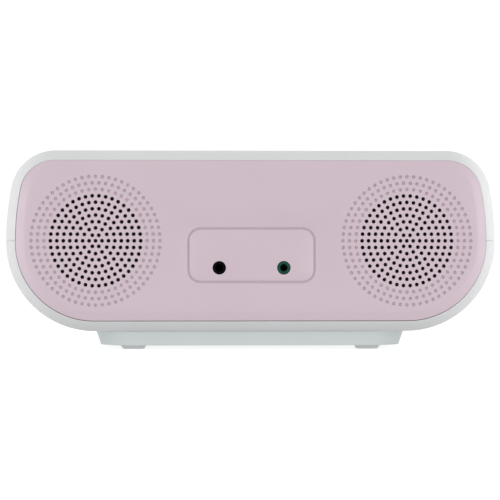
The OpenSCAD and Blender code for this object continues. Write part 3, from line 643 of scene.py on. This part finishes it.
def shell_form(name, side):
    """Sweeps the wall's section along half of the outline; side is 1 for the upper half."""
    first = PARTING_STEPS[-1][0] * side
    right = upper_right(parting_deg(first)) if side > 0 else lower_right(parting_deg(first))
    near = [side_arc(parting_deg(h * side), 0, 1)[0] for h, _ in PARTING_STEPS[:-1]]
    path = mirrored(near + right)
    grooves = [g for _, g in PARTING_STEPS] + [0.0] * (len(path) - 2 * len(PARTING_STEPS))
    grooves += [g for _, g in reversed(PARTING_STEPS)]
    profile = shell_profile()
    m = len(profile)
    normals = []
    for i in range(m):
        (y0, d0, _), (y1, d1, _) = profile[i - 1], profile[(i + 1) % m]
        ty, td = y1 - y0, d1 - d0
        size = math.hypot(ty, td) or 1
        normals.append((-td / size, ty / size))  # into the wall from its outer skin
    verts = []
    for k, (x, z, nx, nz) in enumerate(path):
        at_end = k in (0, len(path) - 1)
        for (y, d, share), (ny, nd) in zip(profile, normals):
            g = grooves[k] * share
            dd = d + g * nd
            height = PARTING_STEPS[0][0] * side if at_end else z - dd * nz
            verts.append(to_metres(x - dd * nx, y + g * ny, height))
    ends = [tuple(range(m)), tuple(range(len(verts) - m, len(verts)))]
    return make_piece(name, verts, sleeve(m, len(path)) + ends)


SHELL_POSTS = [(42, -22, -38), (66, 18, -38), (94, 4, -35.5)]  # x, y, level of the screw's seat
BOARD_POSTS = [(34, -10, -37), (34, 12, -37), (24, -16, -20.1)]  # x, y, level of its top
PLINTH_POSTS = [(30, -22), (30, 22)]
POST_R, HEAD_GAP_R, SHANK_GAP_R, PILOT_R = 3.6, 3.2, 1.65, 1.5
WIDE_POST_R, WIDE_UP = POST_R + 1, 2  # a shell post around its screw's head, to so far above it
BOARD_POST_R, PLINTH_POST_R, SMALL_PILOT_R, PLINTH_POST_H = 2.6, 3.2, 1.15, 7.7
POST_GAP = 0.05  # between a post's end and the parting
HEAD_CUT, PILOT_CUT = 8, 4  # how far up from the casing's lowest point its skin is drilled

bezel_low, bezel_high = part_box("control_bezel")
BEZEL_W, BEZEL_D = (bezel_high.x - bezel_low.x) / MM, (bezel_high.y - bezel_low.y) / MM
BEZEL_T = (bezel_high.z - bezel_low.z) / MM
BEZEL_SLACK = 0.3  # how much wider than the bezel its seat is
KEY_PITCH, KEY_W, KEY_D, KEY_GAP = 20, 13.4, 7.4, 0.3
KEY_X = (-KEY_PITCH, 0, KEY_PITCH)
KEY_WELL = (4, 0.6)  # how far under the casing's top a well's floor and its mouth are


def mid_floor(x):
    return floor_z(x, WALL / 2)


def mid_roof(x):
    return roof_z(x, WALL / 2)


def post(x, y, outside, bore, wall_z, n=32):
    """A post from (radius, level) steps outside and in its bore. No level follows the wall."""
    verts = [to_metres(px, py, wall_z(px) if z is None else z)
             for r, z in outside + bore for px, py in circle(x, y, r, n)]
    return make_piece("post", verts, sleeve(n, len(outside + bore), closed=True))


def shell_post(x, y, seat):
    step = seat + WIDE_UP
    outside = [(WIDE_POST_R, None), (WIDE_POST_R, step), (POST_R, step + HAIR), (POST_R, -POST_GAP)]
    bore = [(SHANK_GAP_R, -POST_GAP), (SHANK_GAP_R, seat), (HEAD_GAP_R, seat - HAIR),
            (HEAD_GAP_R, None)]
    return post(x, y, outside, bore, mid_floor)


def small_post(x, y, r, top):
    bore = [(SMALL_PILOT_R, top), (SMALL_PILOT_R, None)]
    return post(x, y, [(r, None), (r, top)], bore, mid_floor)


def key_outline(x, g):
    """A key's outline, moved outwards by g."""
    return pill(x, KEY_W + 2 * g, KEY_D + 2 * g)


def upper_casing():
    shell = shell_form("upper_casing", 1)
    seat = pill(0, BEZEL_W + BEZEL_SLACK, BEZEL_D + BEZEL_SLACK, 16)
    low, high = (HALF_H - depth for depth in KEY_WELL)
    cutters = [prism("cut", seat, HALF_H - BEZEL_T, HALF_H + PAST, upright)]
    cutters += [prism("cut", key_outline(x, KEY_GAP), low, high, upright) for x in KEY_X]
    carve(shell, *cutters)
    posts = [post(sx, y, [(POST_R, POST_GAP), (POST_R, None)],
                  [(PILOT_R, None), (PILOT_R, POST_GAP)], mid_roof)
             for x, y, _ in SHELL_POSTS for sx in both(x)]
    return joined("upper_casing", [shell] + posts)


def lower_casing():
    def drill(x, y, r, up, n):
        return prism("cut", circle(x, y, r, n), -HALF_H - PAST, -HALF_H + up, upright)

    shell = shell_form("lower_casing", -1)
    cutters = [drill(sx, y, HEAD_GAP_R - 2 * HAIR, HEAD_CUT, 32)
               for x, y, _ in SHELL_POSTS for sx in both(x)]
    cutters += [drill(sx, y, SMALL_PILOT_R, PILOT_CUT, 20)
                for x, y in PLINTH_POSTS for sx in both(x)]
    carve(shell, *cutters)
    posts = [shell_post(sx, y, seat) for x, y, seat in SHELL_POSTS for sx in both(x)]
    posts += [small_post(sx, y, BOARD_POST_R, top) for x, y, top in BOARD_POSTS for sx in both(x)]
    posts += [small_post(sx, y, PLINTH_POST_R, -HALF_H + PLINTH_POST_H)
              for x, y in PLINTH_POSTS for sx in both(x)]
    return joined("lower_casing", [shell] + posts)


finish(upper_casing(), casing_white, "casing", "casing_white", "upper_shell")
finish(lower_casing(), casing_white, "casing", "casing_white", "lower_shell")

# ---------- front panel ----------

DRIVER_X, HOLE_PITCH, HOLE_R, DIMPLE_R = 77.8, 3.21, 0.985, 0.86
HOLE_RINGS, DIMPLE_RINGS = (0, 7), (8, 10)  # first and last, counted outwards
HOLE_RIM, DIMPLE_RIM = (0.13, 0.08), (0.15, 0.1)  # a rim is explained at edged()
HOLE_SIDES, DIMPLE_SIDES = 20, 16
DIMPLE_STEPS = [(0.97, 0.66), (0.7, 0.88)]  # share of its radius, depth
FLANGE_GAP, FLANGE_TIP, FLANGE_IN, FLANGE_BACK = 0.1, 0.3, 2.2, 2  # a panel's flange in its groove
TURN_DEPTH = 1.1  # how much deeper than wide the tight turn at a panel's side is
PLATE_W, PLATE_H, PLATE_R, PLATE_Z, PLATE_T = 63, 26.7, 6, -7.25, 1.6
PLATE_LEDGE = 3  # how far the panel reaches in behind the plate
SEAM = 0.03  # from the seam's middle to either side of it
GROOVE_SIDE = [(0.72, 0), (0.64, 0.03), (0.58, 0.1), (0.54, 0.22), (0.5, 0.6), (0.42, 0.68),
               (SEAM, 0.7)]  # from the seam's middle, depth
JACK_X, JACK_Z = 16.15, -13.5
JACK_HOLE_R, JACK_HOLE_RIM, JACK_SIDES = 3.35, (0.3, 0.25), 48


def ring_holes(a, b):
    """Middles of the holes on rings a to b, six more on each."""
    out = []
    for n in range(a, b + 1):
        for k in range(max(6 * n, 1)):
            t = math.radians(60 * k / n) if n else 0
            out.append((n * HOLE_PITCH * math.cos(t), n * HOLE_PITCH * math.sin(t)))
    return out


def panel_edge(face, way, inset, roll, drop, tight, power=1.5, rolls=10, turns=6):
    """(depth, inset) round a panel's edge: rolled from the flat face, tightly down, flanged."""
    out = [(face, inset + roll)]
    for i in range(1, rolls + 1):
        t = i / rolls
        out.append((face + way * drop * t ** power, inset + roll - (roll - tight) * t))
    for i in range(1, turns + 1):
        a = math.pi / 2 * i / turns
        depth = drop + tight * TURN_DEPTH * (1 - math.cos(a))
        out.append((face + way * depth, inset + tight * (1 - math.sin(a))))
    fore, aft = (face + way * (LIP_BACK + back) for back in (FLANGE_GAP, FLANGE_BACK))
    tip, root = WALL + FLANGE_TIP, inset + FLANGE_IN
    return out + [(fore, inset), (fore, tip), (aft, tip), (aft, root), (face + way * FACE_T, root)]


def plate_loop(g):
    """The seam around the jack plate, moved outwards by g."""
    return rounded_rect(0, PLATE_Z, PLATE_W + 2 * g, PLATE_H + 2 * g, PLATE_R + g, 12)


def front_piece():
    m = Mesher()
    edge = panel_edge(FRONT, 1, PANEL_INSET, roll=4.6, drop=0.86, tight=0.14, power=1.15)
    outer, back_outer = m.tube([(inset_loop(d, BOTTOM_GAP, LEFT_GAP), y) for y, d in edge])
    holes, back_holes = [], []
    for side in (-1, 1):
        for dx, dz in ring_holes(*HOLE_RINGS):
            shape = lambda g: circle(side * DRIVER_X + dx, dz, HOLE_R + g, HOLE_SIDES)
            top, back = m.tube(edged(shape, FRONT, 1, HOLE_RIM, 3) + [(shape(0), FRONT + FACE_T)])
            holes.append(top)
            back_holes.append(back)
        for dx, dz in ring_holes(*DIMPLE_RINGS):
            disc = lambda r: circle(side * DRIVER_X + dx, dz, r, DIMPLE_SIDES)
            bowl = [(disc(DIMPLE_R * share), FRONT + depth) for share, depth in DIMPLE_STEPS]
            top, low = m.tube(edged(lambda g: disc(DIMPLE_R + g), FRONT, 1, DIMPLE_RIM, 3) + bowl)
            m.cap(low)
            holes.append(top)
    seat = GROOVE_SIDE + [(SEAM, PLATE_T), (-PLATE_LEDGE, PLATE_T), (-PLATE_LEDGE, FACE_T)]
    top, low = m.tube([(plate_loop(g), FRONT + depth) for g, depth in seat])
    holes.append(top)
    back_holes.append(low)
    m.fill(outer, holes)
    m.fill(back_outer, back_holes)
    return m.piece("front_panel_skin")


def socket_plate():
    m = Mesher()
    side = GROOVE_SIDE + [(SEAM, PLATE_T)]
    face, back_edge = m.tube([(plate_loop(-g), FRONT + depth) for g, depth in side])
    holes, back_holes = [], []
    for x in both(JACK_X):
        shape = lambda g: circle(x, JACK_Z, JACK_HOLE_R + g, JACK_SIDES)
        top, back = m.tube(edged(shape, FRONT, 1, JACK_HOLE_RIM) + [(shape(0), FRONT + PLATE_T)])
        holes.append(top)
        back_holes.append(back)
    m.fill(face, holes)
    m.fill(back_edge, back_holes)
    return m.piece("socket_plate")


finish(front_piece(), panel_pink, "casing", "panel_pink", "front_panel")
finish(socket_plate(), panel_pink, "casing", "panel_pink", "jack_plate")

# ---------- sockets ----------

NOSE = [(1.8, 1.1), (1.84, 0.62), (1.97, 0.28), (2.2, 0.08), (2.46, 0), (2.72, 0), (2.9, 0.05),
        (3.04, 0.17), (3.1, 0.36)]  # radius, depth: from the bore round to the barrel
BARREL_R, BORE_R, BARREL_HOLE_R = 3.1, 1.8, 3.05
BLOCK_W, BLOCK_H, BLOCK_R, BLOCK_EDGE = 11, 10, 0.8, 0.3
BLOCK_GAP = 0.3  # between the front panel's back and the block
BARREL_END, HOLE_END = 0.6, 0.7  # where the barrel and its hole end before the block's back


def socket(name, node, x):
    low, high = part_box(node)
    nose, back = low.y / MM, high.y / MM
    front = FRONT + FACE_T + BLOCK_GAP
    profile = [(r, nose + depth) for r, depth in NOSE]
    profile += [(BARREL_R, back - BARREL_END), (BORE_R, back - BARREL_END)]
    barrel = lathed("tube", profile, along_front(x, JACK_Z))
    m = Mesher()
    box = lambda g: rounded_rect(x, JACK_Z, BLOCK_W - 2 * g, BLOCK_H - 2 * g, BLOCK_R)
    a, b = m.tube([(box(BLOCK_EDGE), front), (box(0), front + BLOCK_EDGE),
                   (box(0), back - BLOCK_EDGE), (box(BLOCK_EDGE), back)])
    hole = circle(x, JACK_Z, BARREL_HOLE_R, JACK_SIDES)
    mouth, end = m.tube([(hole, front), (hole, back - HOLE_END)])
    m.fill(a, [mouth])
    m.cap(b)
    m.cap(end)
    return joined(name, [barrel, m.piece("block")])


finish(socket("line_in_socket", "line_in_jack", -JACK_X),
       jack_plastic("jack_black", (0.002, 0.0005, 0.0012), 0.04),
       "casing", "jack_black", "line_in_jack")
finish(socket("headphone_socket", "headphone_jack", JACK_X),
       jack_plastic("jack_green", (0.009, 0.078, 0.048), 0.08),
       "casing", "jack_green", "headphone_jack")

# ---------- rear panel and battery door ----------

DOOR_W, DOOR_TOP, DOOR_T, DOOR_GAP = 110, 20, 2, 0.3
HINGE_R, HINGE_Z = 2, -20
HINGE_Y = REAR - HINGE_R
KNUCKLE_DEG = 252  # how far round its axis the door's lower edge goes
OPENING_R, OPENING_RIM = 0.6, (0.4, 0.3)
HINGE_BLOCK = (4.6, 6, 0.5)  # width, height, corner radius
HINGE_BLOCK_STEPS = [(0.3, -3.2), (0, -2.9), (0, 0.8)]  # inset, depth from the hinge's axis
PIN = [(0, -1), (1.2, -1), (1.2, 1.9), (0.9, 2.2), (0, 2.2)]  # radius, along
PIN_HOLE = [(0, -1), (1.26, -1), (1.26, 2.7), (0, 2.7)]
FINGER_R, FINGER_DROP, FINGER_DEPTH = 8, 1.2, 1.2  # the finger's recess at the door's upper edge
DOOR_EDGE = 0.35  # radius of its upper edge
DOOR_SKIN_Z = (15, 8, 0, -8, -14)
DOOR_FOOT = 2.6  # how far above the hinge's axis its inner face ends
DOOR_END = [(0, 0.3), (0.1, 0.1), (0.3, 0)]  # in from the door's end, section smaller by
GRIP_Z, GRIP_W, GRIP_H, GRIP_DEPTH = (16.2, 14.2, 12.2), 18, 0.9, 0.45
CATCH_W, CATCH_D, CATCH_R, CATCH_IN = 12, 3.1, 0.4, 1.4
CATCH_STEPS = [(0.2, 1.8), (0, 1.6), (0, 0.8), (0.2, 0.6)]  # inset, below the door's upper edge
RIB_X, RIB_Z, RIB_W, RIB_H, RIB_R = (-40, -20, 0, 20, 40), -1, 1.2, 32, 0.5
RIB_TALL, RIB_ROOT = 0.8, 0.3  # out from the door's inner face, and into it


def hinge_block(s):
    """The block that holds the door's pin on side s."""
    width, height, radius = HINGE_BLOCK
    hole_x = s * (DOOR_W / 2 + DOOR_GAP)
    shape = lambda g: rounded_rect(hole_x + s * width / 2, HINGE_Z,
                                   width - 2 * g, height - 2 * g, radius)
    m = Mesher()
    m.closed_tube([(shape(g), HINGE_Y + depth) for g, depth in HINGE_BLOCK_STEPS])
    pin_hole = lathed("cut", PIN_HOLE, along_x(HINGE_Y, HINGE_Z, hole_x, s), 32)
    return carve(m.piece("block"), pin_hole)


def rear_piece():
    m = Mesher()
    edge = panel_edge(REAR, -1, REAR_INSET, roll=2.4, drop=0.8, tight=0.5)
    outer, back_outer = m.tube([(inset_loop(d), y) for y, d in edge])
    low, high = HINGE_Z - HINGE_R - DOOR_GAP, DOOR_TOP + DOOR_GAP
    opening = lambda g: rounded_rect(0, (low + high) / 2, DOOR_W + 2 * (DOOR_GAP + g),
                                     high - low + 2 * g, OPENING_R + g, 4)
    top, back = m.tube(edged(opening, REAR, -1, OPENING_RIM) + [(opening(0), REAR - FACE_T)])
    m.fill(outer, [top])
    m.fill(back_outer, [back])
    recess = circle(0, DOOR_TOP - FINGER_DROP, FINGER_R, 48)
    cover = carve(m.piece("rear_cover"), prism("cut", recess, REAR - FINGER_DEPTH, REAR + PAST))
    return joined("rear_cover", [cover] + [hinge_block(s) for s in (-1, 1)])


def hatch_body():
    """The door's section in depth and height, drawn out along x, with its ends rounded."""
    inner, e = REAR - DOOR_T, DOOR_EDGE
    section = [(REAR - e, DOOR_TOP), (REAR - e * 0.3, DOOR_TOP - e * 0.3), (REAR, DOOR_TOP - e)]
    section += [(REAR, z) for z in DOOR_SKIN_Z]
    section += [p[:2] for p in arc(HINGE_Y, HINGE_Z, HINGE_R, 0, -KNUCKLE_DEG, 20)]
    section += [(inner, HINGE_Z + DOOR_FOOT), (inner, DOOR_TOP - e), (inner + e, DOOR_TOP)]
    m, half = len(section), DOOR_W / 2
    cy, cz = (sum(p[i] for p in section) / m for i in (0, 1))
    ends = [(-half + a, g) for a, g in DOOR_END] + [(half - a, g) for a, g in reversed(DOOR_END)]
    verts = []
    for x, g in ends:
        for y, z in section:
            verts.append(to_metres(x, y - g * (1 if y > cy else -1) * min(1, abs(y - cy)),
                                   z - g * (1 if z > cz else -1)))
    caps = [tuple(range(m)), tuple(range(len(verts) - m, len(verts)))]
    return make_piece("battery_hatch", verts, sleeve(m, len(ends)) + caps)


def hatch():
    inner = REAR - DOOR_T
    grips = [rounded_rect(0, z, GRIP_W, GRIP_H, GRIP_H / 2 - HAIR, 6) for z in GRIP_Z]
    cutters = [prism("cut", grip, REAR - GRIP_DEPTH, REAR + PAST) for grip in grips]
    door = carve(hatch_body(), *cutters)
    pins = [lathed("pin", PIN, along_x(HINGE_Y, HINGE_Z, s * DOOR_W / 2, s), 32) for s in (-1, 1)]
    m = Mesher(upright)
    catch = lambda g: rounded_rect(0, inner - CATCH_IN, CATCH_W - 2 * g, CATCH_D - 2 * g, CATCH_R)
    m.closed_tube([(catch(g), DOOR_TOP - below) for g, below in CATCH_STEPS])
    ribs = [prism("rib", rounded_rect(x, RIB_Z, RIB_W, RIB_H, RIB_R, 4),
                  inner - RIB_TALL, inner + RIB_ROOT) for x in RIB_X]
    return joined("battery_hatch", [door] + pins + [m.piece("catch")] + ribs)


finish(rear_piece(), casing_white, "casing", "casing_white", "rear_panel")
finish(hatch(), casing_white, "battery_door", "casing_white", "battery_door")

CELL = [(0, 0.25), (4.6, 0.25), (5.0, 0), (6.5, 0), (6.9, 0.15), (7.1, 0.5), (7.1, 48.3),
        (6.9, 48.8), (6.3, 49.1), (4.2, 49.2), (3.0, 49.0), (2.75, 49.3), (2.7, 50.2),
        (2.4, 50.45), (0, 50.45)]  # radius, along: from the flat end to the button
CELL_PITCH = 49.2 + 1.3  # a can and the gap before the next
CELL_SHIFT, CELL_Z = 1.4, 7.6  # how far a row is off the middle, along and up


def cells():
    """Two rows of two cells, the lower row the other way round."""
    low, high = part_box("battery_cells")
    y = (low.y + high.y) / 2 / MM
    parts = []
    for way in (1, -1):
        for start in (CELL_SHIFT - CELL_PITCH, CELL_SHIFT):
            parts.append(lathed("cell", CELL, along_x(y, way * CELL_Z, way * start, way), 40))
    return joined("battery_cells_film", parts)


finish(cells(), cell_film("cell_can"), "casing", "cell_can", "battery_cells")

# ---------- plinth and feet ----------

plinth_low, plinth_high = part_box("base_plinth")
PLINTH_W, PLINTH_D = plinth_high.x * 2 / MM, plinth_high.y * 2 / MM
PLINTH_BOTTOM, PLINTH_TOP = plinth_low.z / MM, plinth_high.z / MM
PLINTH_R, PLINTH_TAPER, PLINTH_WALL, PLINTH_EDGE = 18, 4.2, 2.2, 0.4
CORNER_SHARE = 0.3  # how much of the inset the corners' radius follows
TAPER_RINGS = 8
PLINTH_RIM = [(0.3, 0.02), (0.05, 0.12), (0, 0.4)]  # inset, below the plinth's top
LOWER_EDGE = [(0.06, 0.35), (0.25, 0.7), (0.55, 0.92), (1, 1)]  # shares in, down
CORNERS = [(sx, sy) for sx in (-1, 1) for sy in (-1, 1)]
FOOT_X, FOOT_Y = 59.6, 18
FOOT_HOLE, FOOT_HOLE_DEPTH = (13.7, 12.1, 4.05), 1  # width, depth and corner radius
SCREW_X, SCREW_Y = PLINTH_POSTS[1]
SCREW_POCKET = [(2.55, 0), (2.4, 0.15), (2.4, 1.9)]  # radius, up from the plinth's bottom
# Width, depth, corner radius, shift towards the middle, level: from the pocket down and back in
FOOT = [(13.6, 12, 4, 0, PLINTH_BOTTOM + FOOT_HOLE_DEPTH), (13.6, 12, 4, 0, PLINTH_BOTTOM),
        (13.3, 11.7, 3.9, 0.02, PLINTH_BOTTOM - 0.15), (12.1, 10.4, 3.5, 0.1, PLINTH_BOTTOM - 0.9),
        (11.2, 9.5, 3.1, 0.15, 0.42), (10.9, 9.25, 2.95, 0.2, 0.14), (10.5, 8.9, 2.8, 0.2, 0.03),
        (9.9, 8.3, 2.6, 0.2, 0), (7.2, 5.6, 1.8, 0.2, 0), (6.8, 5.2, 1.7, 0.2, 0.3)]


def plinth():
    def outside(g):
        radius = PLINTH_R - g * CORNER_SHARE
        return rounded_rect(0, 0, PLINTH_W - 2 * g, PLINTH_D - 2 * g, radius, 16)

    m = Mesher(on_floor)
    thick = PLINTH_TAPER + 2 * PLINTH_WALL
    hollow = rounded_rect(0, 0, PLINTH_W - thick, PLINTH_D - thick, PLINTH_R - PLINTH_WALL, 16)
    bottom, half = PLINTH_BOTTOM, PLINTH_TAPER / 2
    steps = [(hollow, bottom + PLINTH_WALL), (hollow, PLINTH_TOP - PLINTH_RIM[0][1])]
    steps += [(outside(g), PLINTH_TOP - below) for g, below in PLINTH_RIM]
    high = PLINTH_TOP - PLINTH_RIM[-1][1]
    tall = high - bottom - PLINTH_EDGE
    steps += [(outside(half * i / TAPER_RINGS), high - tall * i / TAPER_RINGS)
              for i in range(1, TAPER_RINGS + 1)]
    steps += [(outside(half + PLINTH_EDGE * a), bottom + PLINTH_EDGE * (1 - b))
              for a, b in LOWER_EDGE]
    inside_ring, bottom_ring = m.tube(steps)
    m.cap(inside_ring)
    mouths = []
    for sx, sy in CORNERS:
        foot = rounded_rect(sx * FOOT_X, sy * FOOT_Y, *FOOT_HOLE)
        foot_hole = [(foot, bottom), (foot, bottom + FOOT_HOLE_DEPTH)]
        screw_hole = [(circle(sx * SCREW_X, sy * SCREW_Y, r, 32), bottom + up)
                      for r, up in SCREW_POCKET]
        for hole in (foot_hole, screw_hole):
            mouth, end = m.tube(hole)
            m.cap(end)
            mouths.append(mouth)
    m.fill(bottom_ring, mouths)
    return m.piece("plinth")


def feet():
    parts = []
    for sx, sy in CORNERS:
        m = Mesher(on_floor)
        m.closed_tube([(rounded_rect(sx * (FOOT_X - shift), sy * FOOT_Y, w, d, r), z)
                       for w, d, r, shift, z in FOOT])
        parts.append(m.piece("foot"))
    return joined("foot_pads", parts)


finish(plinth(), plinth_grey, "casing", "plinth_grey", "base_plinth")
finish(feet(), foot_rubber, "casing", "foot_rubber", "rubber_feet")

# ---------- keys on top ----------

BEZEL_RIM, WELL_RIM, KEY_RIM = (0.3, 0.22), (0.4, 0.3), (0.75, 0.45)
MARK_ROOM = 0.12  # from a key's highest point down to its crown
FLANGE_OUT, FLANGE_H = 1.3, 1  # the flange around a key's foot
DISH = [(1.0, 0.05), (1.6, 0.17), (2.4, 0.27), (3.2, 0.3)]  # inset, depth
MARK_LOW, MARK_HIGH = 0.5, 0.08  # how far under and over the crown a mark reaches
MARK_LONG, MARK_WIDE, MARK_R = 3.4, 0.5, 0.2
RING_R, RING_OPEN = (1.75, 1.3), 34  # the power mark's ring, open by so much beside its bar
RING_BAR = (1.35, 0.45, 1.7)  # its middle, width and length


def top_bezel():
    m = Mesher(upright)
    top, bottom = HALF_H, HALF_H - BEZEL_T
    outer = lambda g: pill(0, BEZEL_W - 2 * g, BEZEL_D - 2 * g, 16)
    face, under = m.tube(edged(outer, top, -1, BEZEL_RIM) + [(outer(0), bottom)])
    holes, under_holes = [], []
    for x in KEY_X:
        shape = lambda g: key_outline(x, KEY_GAP + g)
        mouth, low = m.tube(edged(shape, top, -1, WELL_RIM) + [(shape(0), bottom)])
        holes.append(mouth)
        under_holes.append(low)
    m.fill(face, holes)
    m.fill(under, under_holes)
    return m.piece("top_bezel")


def mark_loops(kind, x):
    """Raised marks on a key: a minus, a plus, or a ring with a bar for power."""
    bar = lambda w, h, y=0: rounded_rect(x, y, w, h, MARK_R, 3)
    if kind == "power":
        outer, inner = ([p[:2] for p in arc(x, 0, r, 90 + RING_OPEN, 450 - RING_OPEN, 32)]
                        for r in RING_R)
        middle, width, length = RING_BAR
        return [outer + inner[::-1], bar(width, length, middle)]
    across, upward = bar(MARK_LONG, MARK_WIDE), bar(MARK_WIDE, MARK_LONG)
    return [across] if kind == "minus" else [upward, across]


def key(name, node, x, kind):
    low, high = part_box(node)
    crown, base = high.z / MM - MID_Z - MARK_ROOM, low.z / MM - MID_Z
    shape = lambda g: key_outline(x, -g)
    m = Mesher(upright)
    foot = [(shape(-FLANGE_OUT), base), (shape(-FLANGE_OUT), base + FLANGE_H),
            (shape(0), base + FLANGE_H + HAIR)]
    edge = edged(shape, crown, -1, KEY_RIM, 5)[::-1]
    m.closed_tube(foot + edge + [(shape(g), crown - depth) for g, depth in DISH])
    marks = [prism("mark", loop, crown - MARK_LOW, crown + MARK_HIGH, upright)
             for loop in mark_loops(kind, x)]
    return joined(name, [m.piece("cap")] + marks)


finish(top_bezel(), panel_pink, "casing", "panel_pink", "control_bezel")
for name, node, x, kind in (("power_key", "power_button", 0, "power"),
                            ("volume_down_key", "volume_down_button", -KEY_PITCH, "minus"),
                            ("volume_up_key", "volume_up_button", KEY_PITCH, "plus")):
    finish(key(name, node, x, kind), key_white, name, "key_white", node)

# ---------- looks of the CAD nodes that stay ----------

slot_of = {s["node"]: s["material_slot"] for s in frame["record"]["subparts"]}
for node, obj in frame["nodes"].items():
    if slot_of[node] in LOOKS:
        obj.data.materials.clear()
        obj.data.materials.append(LOOKS[slot_of[node]])

# ---------- floor, light and camera, in metres and watts ----------

FLOOR_HALF, FLOOR_GLOW = 6.0, 0.7
# How bright the room is towards its front, back, sides, top and floor
ROOM = {"front": 1.13, "back": 1.05, "side": 0.80, "top": 0.85, "below": 0.34}
AIM = (0, 0, 0.05)  # where every light points
BOX_AT, BOX_SIZE, BOX_POWER = (1.1, -0.06, 0.15), (0.5, 0.7), {"left": 4.0, "right": 5.2}
STRIP_AT, STRIP_SIZE, STRIP_POWER = (0.71, -0.75, 0.05), (0.35, 0.1), 4.9
# The eye sits a little to the left, level with the casing's middle, and turns back to face it
EYE_LEFT, EYE_AWAY, EYE_UP = 27 * MM, 900 * MM, 50.2 * MM
PIXELS_PER_MM = 2.003
CENTRE_PX = 1.6  # the front's middle is this far right of the frame's middle
FRAME_PX, SENSOR_MM = 500, 36


def stage_floor():
    size = FLOOR_HALF
    mesh = bpy.data.meshes.new("floor")
    corners = [(-size, -size, 0), (size, -size, 0), (size, size, 0), (-size, size, 0)]
    mesh.from_pydata(corners, [], [(0, 1, 2, 3)])
    obj = bpy.data.objects.new("floor", mesh)
    bpy.context.scene.collection.objects.link(obj)
    s = Shader("floor_white", 0.8, Specular_IOR_Level=0.0, Emission_Color=(1, 1, 1, 1),
               Emission_Strength=FLOOR_GLOW)
    s.mottle(s.noise(3, 2), (0.5, 0.5, 0.5), 0.02)
    mesh.materials.append(s.mat)
    obj.visible_diffuse = obj.visible_shadow = False


def flagged_off(names):
    """A collection that keeps a light off these pieces, as a flag beside the light would."""
    group = bpy.data.collections.new("flagged_off")
    for i, name in enumerate(names):
        group.objects.link(bpy.data.objects[name])
        group.collection_objects[i].light_linking.link_state = "EXCLUDE"
    return group


def softbox(name, at, size, power, unseen, flag=None):
    light = bpy.data.lights.new(name, "AREA")
    light.shape, light.size, light.size_y, light.energy = "RECTANGLE", size[0], size[1], power
    obj = bpy.data.objects.new(name, light)
    obj.location = at
    obj.rotation_euler = (Vector(AIM) - Vector(at)).to_track_quat("-Z", "Y").to_euler()
    bpy.context.scene.collection.objects.link(obj)
    setattr(obj, unseen, False)
    obj.light_linking.receiver_collection = flag


def white_room():
    """A white surround that changes smoothly from wall to wall."""
    world = bpy.data.worlds.new("white_room")
    world.use_nodes = True
    tree = world.node_tree
    background = tree.nodes["Background"]
    background.inputs["Color"].default_value = (1, 1, 1, 1)
    coords = tree.nodes.new("ShaderNodeTexCoord")
    split = tree.nodes.new("ShaderNodeSeparateXYZ")
    tree.links.new(coords.outputs["Generated"], split.inputs[0])

    def lobe(axis, sign, strength):
        facing = maths(tree, "MAXIMUM", maths(tree, "MULTIPLY", axis, sign), 0.0)
        return maths(tree, "MULTIPLY", maths(tree, "MULTIPLY", facing, facing), strength)

    x, y, z = split.outputs
    total = lobe(x, 1, ROOM["side"])
    for axis, sign, wall in ((x, -1, "side"), (y, -1, "front"), (y, 1, "back"), (z, 1, "top"),
                             (z, -1, "below")):
        total = maths(tree, "ADD", total, lobe(axis, sign, ROOM[wall]))
    tree.links.new(total, background.inputs["Strength"])
    bpy.context.scene.world = world


stage_floor()
white_room()
under_casing = flagged_off(["plinth", "foot_pads"])
for side, way in (("left", -1), ("right", 1)):
    box_at, strip_at = ((way * x, y, z) for x, y, z in (BOX_AT, STRIP_AT))
    softbox(side + "_softbox", box_at, BOX_SIZE, BOX_POWER[side], "visible_glossy", under_casing)
    # A low strip that only shows as sheen on the panel's rolled ends
    softbox(side + "_strip", strip_at, STRIP_SIZE, STRIP_POWER, "visible_diffuse")

focal_px = PIXELS_PER_MM * EYE_AWAY / MM
camera = bpy.data.cameras.new("camera")
camera.sensor_fit, camera.sensor_width = "HORIZONTAL", SENSOR_MM
camera.lens = focal_px * SENSOR_MM / FRAME_PX
camera.clip_start, camera.clip_end = 0.05, 50
eye = bpy.data.objects.new("camera", camera)
eye.location = (-EYE_LEFT, FRONT * MM - EYE_AWAY, EYE_UP)
eye.rotation_euler = (math.pi / 2, 0, CENTRE_PX / focal_px - math.atan(EYE_LEFT / EYE_AWAY))
bpy.context.scene.collection.objects.link(eye)
bpy.context.scene.camera = eye
bpy.context.scene.view_settings.view_transform = "Standard"
